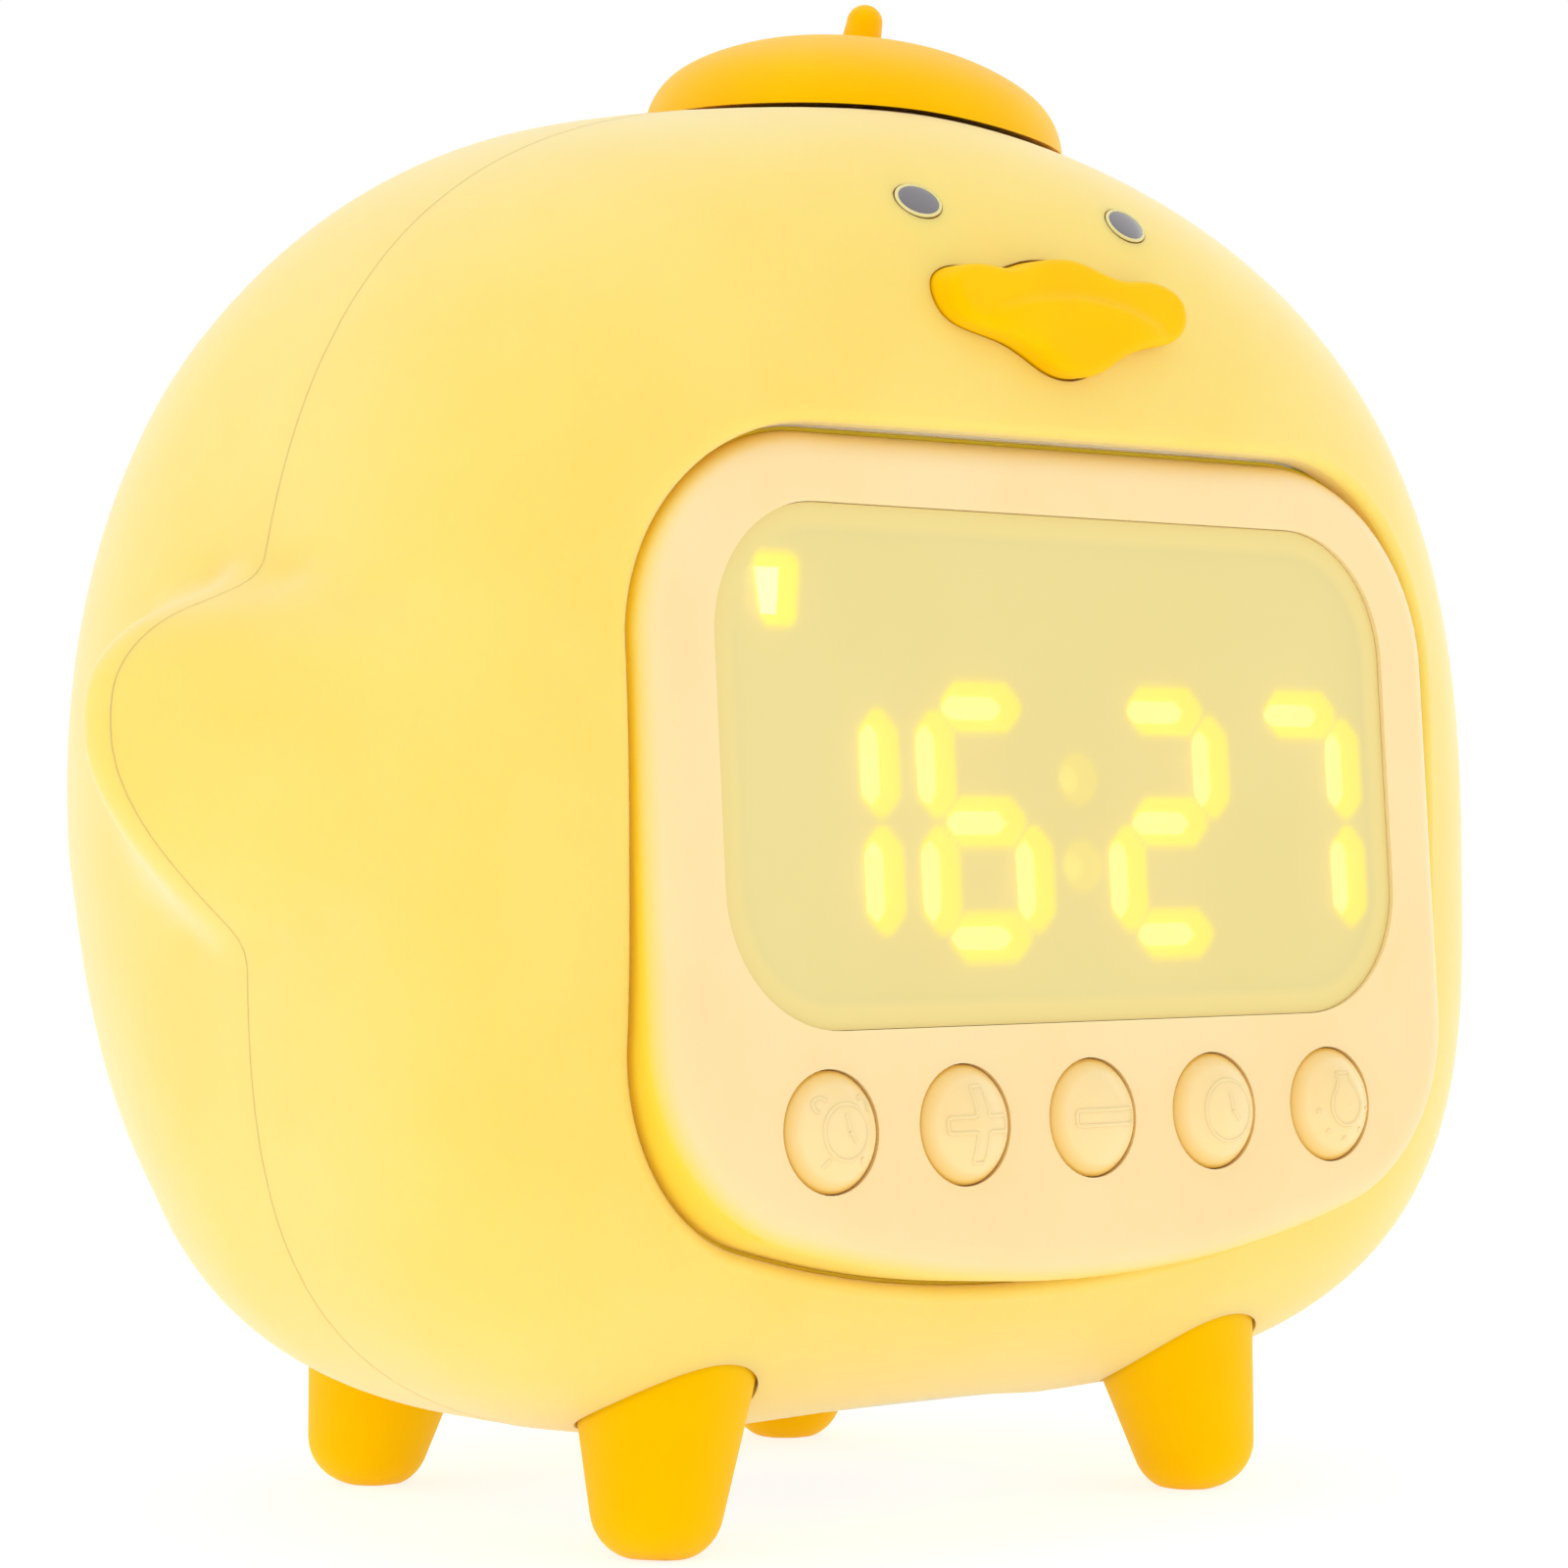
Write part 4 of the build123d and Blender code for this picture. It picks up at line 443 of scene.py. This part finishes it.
# White LED bodies, slightly warm.
led_body = moulded("led_white", "#F7F2D8", "#FBF7E2", rough=(0.3, 0.4), grain_mm=0.3,
                   **{"IOR": 1.5, "Subsurface Weight": 0.3, "Subsurface Radius": (1, 0.95, 0.8),
                      "Subsurface Scale": 0.6 * MM})
# Shrink film round the battery cell.
film_blue = moulded("shrink_film_blue", "#2F6FB3", "#3577BC", rough=(0.18, 0.28), grain_mm=1.5,
                    grain_height=0.008, **{"IOR": 1.54})
# PVC wire insulation.
pvc_red = moulded("pvc_red", "#B01C14", "#BC241B", rough=(0.35, 0.45), grain_mm=0.5,
                  grain_height=0.002, **{"IOR": 1.53})


def nickel_steel():
    """Nickel-plated steel, barrel finished: bright, with fine scratches that spread the light."""
    made, tree, output = material("steel_nickel_plated")
    fine = grain(tree, 0.12, detail=4.0)
    shader = add(tree, "ShaderNodeBsdfPrincipled", {
        "Base Color": tinted(tree, grain(tree, 3.0), "#C9C9CC", "#D6D6D8"), "Metallic": 1.0,
        "Roughness": varied(tree, fine, 0.22, 0.38), "Normal": bumped(tree, fine, 0.002)})
    surface(tree, output, shader.outputs["BSDF"])
    return made


def lit_pipe(name, colour, strength):
    """Clear acrylic over a lit LED: even glow, a little weaker where the light has to spread."""
    made, tree, output = material(name)
    cloud = grain(tree, 2.5)
    shader = add(tree, "ShaderNodeBsdfPrincipled", {
        "Base Color": linear("#F6DC6A"), "Roughness": varied(tree, cloud, 0.3, 0.4), "IOR": 1.49,
        "Emission Color": linear(colour),
        "Emission Strength": varied(tree, cloud, 0.94 * strength, strength)})
    surface(tree, output, shader.outputs["BSDF"])
    return made


def window_acrylic():
    """Milky tinted acrylic: partly clear, so the lit bars show, with their glow spread in it."""
    made, tree, output = material("acrylic_milky_window")
    clear = add(tree, "ShaderNodeBsdfTransparent")
    place = add(tree, "ShaderNodeTexCoord")
    border = ramp(tree, from_window(tree, place), -WINDOW_BORDER - BORDER_FADE,
                  -WINDOW_BORDER + BORDER_FADE)
    inside = tinted(tree, grain(tree, 25.0), "#F7E597", "#F8E79B")
    colour = add(tree, "ShaderNodeMix", {"Factor": border, "A": inside, "B": linear("#EEDA8C")},
                 data_type="RGBA").outputs["Result"]
    body = add(tree, "ShaderNodeBsdfPrincipled", {"Base Color": colour, "Roughness": 0.16,
                                                  "IOR": 1.49})
    shown = add(tree, "ShaderNodeMapRange", {"Value": border, "To Min": WINDOW_BODY,
                                             "To Max": 1.0})
    mixed = add(tree, "ShaderNodeMixShader", {0: shown.outputs["Result"], 1: clear.outputs[0],
                                              2: body.outputs["BSDF"]})
    surface(tree, output, mixed.outputs[0])
    return made


def glowing_film():
    """Clear, but for the light that it spreads."""
    made, tree, output = material("light_film")
    glow = add(tree, "ShaderNodeAttribute", attribute_name="glow")
    light = add(tree, "ShaderNodeEmission", {"Color": linear(GLOW_COLOUR),
                                             "Strength": glow.outputs["Fac"]})
    yellow = add(tree, "ShaderNodeMapRange", {"Value": glow.outputs["Fac"], "To Min": 0,
                                              "From Min": 0, "From Max": GLOW_YELLOW,
                                              "To Max": 1}).outputs["Result"]
    passed = add(tree, "ShaderNodeMix", {"Factor": yellow, "A": (1, 1, 1, 1),
                                         "B": linear("#FFFFF0")},
                 data_type="RGBA").outputs["Result"]
    clear = add(tree, "ShaderNodeBsdfTransparent", {"Color": passed})
    both = add(tree, "ShaderNodeAddShader", {0: clear.outputs[0], 1: light.outputs[0]})
    surface(tree, output, both.outputs[0])
    return made


steel = nickel_steel()
pipe_lit = lit_pipe("light_pipe_lit", "#FFFFE8", BAR_LIGHT)
pipe_dim = lit_pipe("light_pipe_colon", "#FFF090", COLON_LIGHT)
pipe_bright = lit_pipe("light_pipe_indicator", "#FFFFFF", INDICATOR_LIGHT)
pipe_dark = moulded("light_pipe_unlit", "#E8D88E", "#EADA92", rough=(0.35, 0.45), cloud_mm=3.0,
                    **{"IOR": 1.49})
guide_white = moulded("abs_guide", "#EAD98E", "#ECDB92", rough=(0.5, 0.6), **{"IOR": 1.53})
window = window_acrylic()
film_glow = glowing_film()

NODE_MATERIALS = {
    silicone_yellow: ["silicone_skin"],
    silicone_orange: ["beak", "foot_front_left", "foot_front_right", "foot_rear_left",
                      "foot_rear_right"],
    abs_cream: ["display_bezel", "port_frame"],
    abs_key: ["key_alarm", "key_plus", "key_minus", "key_clock", "key_light"],
    abs_orange: ["beret_key"],
    pc_milky: ["core_front_shell", "core_rear_shell", "light_diffuser"],
    abs_ivory: ["chassis", "base_cover", "beret_retainer", "speaker_ring"],
    guide_white: ["light_guide"],
    window: ["display_lens"],
    pipe_lit: ["lit_segments"],
    pipe_dim: ["colon_dots"],
    pipe_bright: ["alarm_indicator"],
    pipe_dark: ["unlit_segments"],
    acrylic_dark: ["eyes"],
    board_green: ["front_board", "top_board", "main_board", "light_board"],
    epoxy_black: ["tact_switches", "snooze_switch", "main_chips", "speaker", "battery_holder"],
    led_body: ["segment_leds", "night_leds"],
    film_blue: ["battery_cell"],
    steel: ["usb_socket", "core_screws", "foot_screws", "small_screws"],
    pvc_red: ["display_cable", "speaker_leads", "battery_leads"],
}
for made, names in NODE_MATERIALS.items():
    for name in names:
        nodes[name].data.materials.clear()
        nodes[name].data.materials.append(made)


# ---------------------------------------------------------------- the window
def lit_trees():
    """The lit pieces behind the window, each with its glow's strength."""
    depsgraph = bpy.context.evaluated_depsgraph_get()
    return [(BVHTree.FromObject(nodes[n], depsgraph), s) for n, s in GLOW_STRENGTHS.items()]


def glow_film():
    """The light that the bars spread in the milky window, on a fine-meshed clear film."""
    boxes = [face_box(name) for name in ("lit_segments", "alarm_indicator")]
    low = [min(box[0][axis] for box in boxes) - FILM_MARGIN * MM for axis in (0, 1)]
    high = [max(box[1][axis] for box in boxes) + FILM_MARGIN * MM for axis in (0, 1)]
    size = [high[axis] - low[axis] for axis in (0, 1)]
    level = face_box("display_lens")[1].z + FILM_LIFT * MM
    deselect()
    cells = [round(reach / (FILM_CELL * MM)) for reach in size]
    bpy.ops.mesh.primitive_grid_add(x_subdivisions=cells[0], y_subdivisions=cells[1], size=1)
    film = named("glow_film")
    film.scale = (size[0], size[1], 1)
    settle(film)
    bpy.ops.object.mode_set(mode="EDIT")
    bpy.ops.mesh.select_all(action="SELECT")
    bpy.ops.mesh.extrude_region_move(
        TRANSFORM_OT_translate={"value": (0, 0, -FILM_LIFT * MM / 2)})
    bpy.ops.mesh.select_all(action="SELECT")
    bpy.ops.mesh.normals_make_consistent(inside=False)
    bpy.ops.object.mode_set(mode="OBJECT")
    turn = Matrix((RIGHT, UP, OUT)).transposed().to_4x4()
    place = from_face((low[0] + high[0]) / 2, (low[1] + high[1]) / 2, level)
    film.matrix_world = Matrix.Translation(place) @ turn
    settle(film)
    trees = lit_trees()
    layer = film.data.attributes.new("glow", "FLOAT", "POINT")
    for vertex in film.data.vertices:
        share = 0.0
        for tree, strength in trees:
            away = tree.find_nearest(vertex.co)[3] / MM - FILM_NEAREST
            share += strength * exp(-(max(away, 0) / GLOW_REACH) ** GLOW_FALL)
        layer.data[vertex.index].value = share
    return finish_piece(film, "body", film_glow)


glow_film()


# ---------------------------------------------------------------- key signs
def arc(radius, start, end, steps, centre=(0, 0)):
    """Points of an arc, in degrees from +u towards +v."""
    turns = [radians(start + (end - start) * i / steps) for i in range(steps + 1)]
    return [(centre[0] + radius * cos(t), centre[1] + radius * sin(t)) for t in turns]


def ring(radius):
    return arc(radius, 0, 360, 40)[:-1]


def rounded(corners, radius):
    """A closed outline with a short arc at each corner, turning the right way at inner corners."""
    points = []
    for i, corner in enumerate(corners):
        here = Vector(corner)
        before = (Vector(corners[i - 1]) - here).normalized()
        after = (Vector(corners[(i + 1) % len(corners)]) - here).normalized()
        for share in (0, 0.25, 0.5, 0.75, 1):
            side = before * (1 - share) ** 2 + after * share ** 2
            points.append(tuple(here + side * radius))
    return points


def bar_outline(reach, half):
    return rounded([(reach, half), (-reach, half), (-reach, -half), (reach, -half)], SIGN_CORNER)


def plus_outline(reach, half):
    quarter = [(reach, half), (half, half), (half, reach)]
    corners = []
    for turn in range(4):
        for u, v in quarter:
            for _ in range(turn):
                u, v = -v, u
            corners.append((u, v))
    return rounded(corners, SIGN_CORNER)


def on_circle(radius, angle):
    return (radius * cos(radians(angle)), radius * sin(radians(angle)))


def signs():
    """Each key's sign: (points, closed) strokes around the middle of its dome."""
    hands = [([HANDS_START, tip], False) for tip in HAND_TIPS]
    bells = [(arc(BELL, turn - BELL_HALF, turn + BELL_HALF, 10, on_circle(BELL_AT, turn)), False)
             for turn in BELL_TURNS]
    feet = [([on_circle(r, turn) for r in ALARM_FOOT], False) for turn in ALARM_FOOT_TURNS]
    glass = arc(BULB, *BULB_ARC, 26, BULB_MIDDLE)
    right = [(SOCKET_HALF, v) for v in SOCKET_ENDS]
    left = [(-u, v) for u, v in reversed(right)]
    bulb = [(glass + right, False), (left + glass[:1], False), ([left[0], right[-1]], False)]
    rays = [([on_circle(r, turn) for r in RAY], False) for turn in RAY_TURNS]
    return {
        "key_alarm": [(ring(ALARM_RING), True)] + hands + bells + feet,
        "key_plus": [(plus_outline(PLUS_REACH, SIGN_BAR), True)],
        "key_minus": [(bar_outline(PLUS_REACH, SIGN_BAR), True)],
        "key_clock": [(ring(CLOCK_RING), True)] + hands,
        "key_light": bulb + rays,
    }


def stroke(points, closed, thickness, name):
    """A round raised line through the points."""
    curve = bpy.data.curves.new(name, "CURVE")
    curve.dimensions = "3D"
    curve.bevel_depth = thickness
    curve.bevel_resolution = 2
    curve.use_fill_caps = True
    spline = curve.splines.new("POLY")
    spline.points.add(len(points) - 1)
    for spot, place in zip(spline.points, points):
        spot.co = (*place, 1)
    spline.use_cyclic_u = closed
    obj = bpy.data.objects.new(name, curve)
    bpy.context.scene.collection.objects.link(obj)
    pick(obj)
    bpy.ops.object.convert(target="MESH")
    return bpy.context.object


def dense(points, closed):
    """The same line with points about SIGN_STEP apart, or nearer."""
    ends = list(zip(points, points[1:] + (points[:1] if closed else [])))
    made = []
    for first, second in ends if closed else ends[:len(points) - 1]:
        count = max(1, round(hypot(second[0] - first[0], second[1] - first[1]) / SIGN_STEP))
        for i in range(count):
            share = i / count
            made.append((first[0] + (second[0] - first[0]) * share,
                         first[1] + (second[1] - first[1]) * share))
    return made if closed else made + [points[-1]]


def key_sign(key, strokes):
    """The raised sign on a key, its lines laid on the key's dome."""
    dome = BVHTree.FromObject(nodes[key], bpy.context.evaluated_depsgraph_get())
    low, high = face_box(key)
    middle = (low + high) / 2
    pieces = []
    for points, closed in strokes:
        laid = []
        for u, v in dense(points, closed):
            start = from_face(middle.x + u * MM, middle.y + v * MM, high.z + MM)
            hit = dome.ray_cast(start, PRESS)
            laid.append(hit[0] - hit[1] * SIGN_SINK * MM)
        pieces.append(stroke(laid, closed, SIGN_LINE * MM, key + "_line"))
    sign = join(pieces, key.replace("key_", "sign_"))
    smooth(sign)
    return finish_piece(sign, key, abs_key)


for key, strokes in signs().items():
    key_sign(key, strokes)


# ---------------------------------------------------------------- the skin and what is let into it
def tree_of(obj):
    mesh = obj.data
    return BVHTree.FromPolygons([v.co for v in mesh.vertices], [p.vertices for p in mesh.polygons])


def bead(points, thickness, name, closed=True):
    """A round line through points in metres, as a mesh."""
    stroke(points, closed, thickness * MM, name)
    return smooth(named(name))


def mould_line():
    """The fine raised line that the mould's parting leaves round each side and over the wings."""
    skin = tree_of(nodes["silicone_skin"])
    middle = Vector((0, MOULD_LINE_Y, MOULD_LINE_Z)) * MM
    steps = round(LINE_REACH / LINE_STEP)
    sides = []
    for side in (-1, 1):
        spots = []
        for step in range(-steps, steps + 1):
            turn = radians(step * LINE_STEP)
            away = Vector((side * cos(turn), 0, sin(turn)))
            place, normal, _, _ = skin.ray_cast(middle + away * (LINE_OUTSIDE * MM), -away)
            if place is None or (place - middle).length < LINE_INNER * MM:
                continue
            in_opening = place.z < LINE_LOW_Z * MM and abs(place.x) < LINE_LOW_X * MM
            from_beret = hypot(place.x / MM - BERET_AT[0], place.y / MM - BERET_AT[1])
            if in_opening or from_beret < BERET_REACH and place.z > middle.z:
                continue
            spots.append(place - normal * MOULD_SINK * MM)
        sides.append(bead(spots, MOULD_LINE, "mould_line", closed=False))
    lines = join(sides, "skin_mould_line")
    return finish_piece(lines, "body", silicone_yellow)


def gap_light_bead():
    """A bead in the gap round the display's frame; its deep yellow is painted light, standing in
    for light bounced inside the gap where there would be dark shade.
    """
    skin = tree_of(nodes["silicone_skin"])
    wall = tree_of(nodes["display_bezel"])
    low, high = face_box("display_bezel")
    middle = (low + high) / 2
    spots = []
    for step in range(BEAD_POINTS):
        turn = 2 * pi * step / BEAD_POINTS
        away = RIGHT * cos(turn) + UP * sin(turn)
        inside = from_face(middle.x, middle.y, high.z + BEAD_LEVEL * MM)
        start = inside + away * (BEAD_OUTSIDE * MM)
        place, normal, _, _ = wall.ray_cast(start, -away)
        normal = (normal - OUT * normal.dot(OUT)).normalized()
        beside = place + normal * BEAD_BESIDE * MM + OUT * (BEAD_BEFORE * MM)
        level = (skin.ray_cast(beside, -OUT)[0]).dot(OUT)
        depth = min(level - BEAD_DEPTH * MM, high.z + BEAD_TOP * MM)
        spots.append(place + normal * GAP_MIDDLE * MM + OUT * (depth - place.dot(OUT)))
    line = bead(spots, BEAD, "gap_light_bead")
    # Painted light: the bead's deep yellow stands in for the light bounced inside the gap.
    return finish_piece(line, "body", painted_gap_light)


def soft_bill():
    """The bill as one puffy moulding, with a soft ridge across it."""
    bill = copy_of("beak", "soft_bill")
    apply_modifier(bill, "REMESH", mode="VOXEL", voxel_size=BILL_CELL * MM)
    group = bill.vertex_groups.new(name="ridge")
    for vertex in bill.data.vertices:
        z = vertex.co.z / MM - BILL_RIDGE_Z + BILL_RIDGE_DROOP * (vertex.co.x / MM) ** 2
        fall = exp(-(z / (BILL_RIDGE_ABOVE if z > 0 else BILL_RIDGE_BELOW)) ** 2)
        ends = max(1 - (abs(vertex.co.x) / (BILL_RIDGE_HALF * MM)) ** 4, 0)
        facing = 1 if vertex.normal.y < BILL_FACING else 0
        group.add([vertex.index], fall * ends * facing, "REPLACE")
    apply_modifier(bill, "DISPLACE", vertex_group="ridge", strength=-BILL_RIDGE * MM, mid_level=0,
                   direction="Y")
    apply_modifier(bill, "SMOOTH", factor=0.5, iterations=4)
    smooth(bill)
    return finish_piece(bill, "body", silicone_orange, ["beak"])


def soft_foot(node):
    """A foot as one soft moulding, its edges rounded."""
    foot = copy_of(node, node + "_soft")
    apply_modifier(foot, "REMESH", mode="VOXEL", voxel_size=FOOT_CELL * MM)
    apply_modifier(foot, "SMOOTH", factor=0.5, iterations=3)
    smooth(foot)
    return finish_piece(foot, "body", silicone_orange, [node])


def eye_discs():
    """The eyes: dark glossy ovals, slightly domed, each in a pale ring."""
    copy_of("eyes", "eye_source")
    bpy.ops.object.mode_set(mode="EDIT")
    bpy.ops.mesh.select_all(action="SELECT")
    bpy.ops.mesh.separate(type="LOOSE")
    bpy.ops.object.mode_set(mode="OBJECT")
    parts = sorted(bpy.context.selected_objects, key=lambda o: sum(v.co.x for v in o.data.vertices))
    discs, rims = [], []
    for part in parts:
        spots = [v.co.copy() for v in part.data.vertices]
        front = max(part.data.polygons, key=lambda f: -f.normal.y * f.area)
        out = front.normal.normalized()
        face = [p for p in spots if (p - front.center).dot(out) > -EYE_FRONT * MM]
        middle = sum(face, Vector()) / len(face)
        rim = sorted(face, key=lambda p: atan2((p - middle).dot(out.cross(RIGHT)),
                                               (p - middle).dot(RIGHT)))
        inset = [p - (p - middle) * EYE_RIM_INSET for p in rim]
        rims.append(bead(inset, EYE_RIM, "eye_rim"))
        deselect()
        bpy.ops.mesh.primitive_uv_sphere_add(segments=48, ring_count=24, radius=1)
        disc = named("eye_disc")
        reach = max((p - middle).length for p in rim)
        rise = min((p - middle).length for p in rim)
        level = Vector((0, 0, 1)).cross(out).normalized()
        turn = Matrix((level, out.cross(level), out)).transposed().to_4x4()
        size = Matrix.Diagonal((reach * EYE_SHARE, rise * EYE_SHARE, EYE_DOME * MM, 1))
        disc.matrix_world = Matrix.Translation(middle) @ turn @ size
        settle(disc)
        discs.append(smooth(disc))
        bpy.data.objects.remove(part)
    ovals = join(discs, "eye_ovals")
    finish_piece(ovals, "body", acrylic_dark, ["eyes"])
    rings = join(rims, "eye_rings")
    finish_piece(rings, "body", acrylic_pale)


mould_line()
gap_light_bead()
soft_bill()
for node in ("foot_front_left", "foot_front_right", "foot_rear_left", "foot_rear_right"):
    soft_foot(node)
eye_discs()


# ---------------------------------------------------------------- floor, light and camera
def seen_directly(tree):
    """1 for what is seen, also mirrored or through a clear thing; 0 for light on the object."""
    path = add(tree, "ShaderNodeLightPath")
    seen = reckon(tree, "MAXIMUM", path.outputs["Is Camera Ray"], path.outputs["Is Glossy Ray"])
    return reckon(tree, "MAXIMUM", seen, path.outputs["Is Transmission Ray"])


def studio_floor():
    """A plain pale floor: white to the eye, with the object's soft shadow kept."""
    deselect()
    bpy.ops.mesh.primitive_plane_add(size=6)
    floor = named("studio_floor")
    made, tree, output = material("paper_white")
    seen = seen_directly(tree)
    plain = add(tree, "ShaderNodeBsdfDiffuse", {"Color": linear("#F4F4F4")})
    glow = add(tree, "ShaderNodeEmission", {"Color": (1, 1, 1, 1), "Strength": FLOOR_LIFT})
    plain = add(tree, "ShaderNodeAddShader", {0: plain.outputs[0], 1: glow.outputs[0]})
    shaded = add(tree, "ShaderNodeBsdfDiffuse", {"Color": linear("#A8A8A8")})
    white = add(tree, "ShaderNodeEmission", {"Color": (1, 1, 1, 1),
                                                "Strength": FLOOR_WHITE})
    lifted = add(tree, "ShaderNodeAddShader", {0: shaded.outputs[0], 1: white.outputs[0]})
    mixed = add(tree, "ShaderNodeMixShader", {0: seen, 1: plain.outputs[0],
                                              2: lifted.outputs[0]})
    surface(tree, output, mixed.outputs[0])
    floor.data.materials.append(made)


def studio_world():
    """An even white surround, a little weaker as light than it looks."""
    world = bpy.data.worlds.new("studio")
    bpy.context.scene.world = world
    world.use_nodes = True
    tree = world.node_tree
    tree.nodes.clear()
    seen = seen_directly(tree)
    strength = add(tree, "ShaderNodeMapRange", {"Value": seen, "To Min": WORLD_LIGHT,
                                                "To Max": 1.0})
    back = add(tree, "ShaderNodeBackground", {"Color": (1, 1, 1, 1),
                                              "Strength": strength.outputs["Result"]})
    output = add(tree, "ShaderNodeOutputWorld")
    tree.links.new(back.outputs[0], output.inputs["Surface"])


def lamp(name, place, aim, size, watts):
    """A square soft light at a place in mm, turned to its aim."""
    light = bpy.data.lights.new(name, "AREA")
    light.shape = "SQUARE"
    light.size = size * MM
    light.energy = watts
    obj = bpy.data.objects.new(name, light)
    bpy.context.scene.collection.objects.link(obj)
    obj.location = Vector(place) * MM
    obj.rotation_euler = (Vector(aim) - Vector(place)).to_track_quat("-Z", "Y").to_euler()
    return obj


def studio_lamps():
    lamp("top_light", (-150, -100, 750), LAMP_AIM, 700, 0.5)
    lamp("left_light", (-650, -50, 350), LAMP_AIM, 500, 0.35)
    lamp("right_light", (650, 100, 250), LAMP_AIM, 500, 0.3)


def studio_camera():
    data = bpy.data.cameras.new("camera")
    data.lens = CAMERA_LENS
    data.sensor_width = SENSOR
    data.clip_start = 0.01
    data.clip_end = 20
    camera = bpy.data.objects.new("camera", data)
    bpy.context.scene.collection.objects.link(camera)
    camera.location = Vector(CAMERA_PLACE) * MM
    camera.rotation_euler = (radians(90 + CAMERA_PITCH), 0, radians(-CAMERA_YAW))
    bpy.context.scene.camera = camera


studio_floor()
studio_world()
studio_lamps()
studio_camera()
bpy.context.scene.view_settings.view_transform = "Standard"
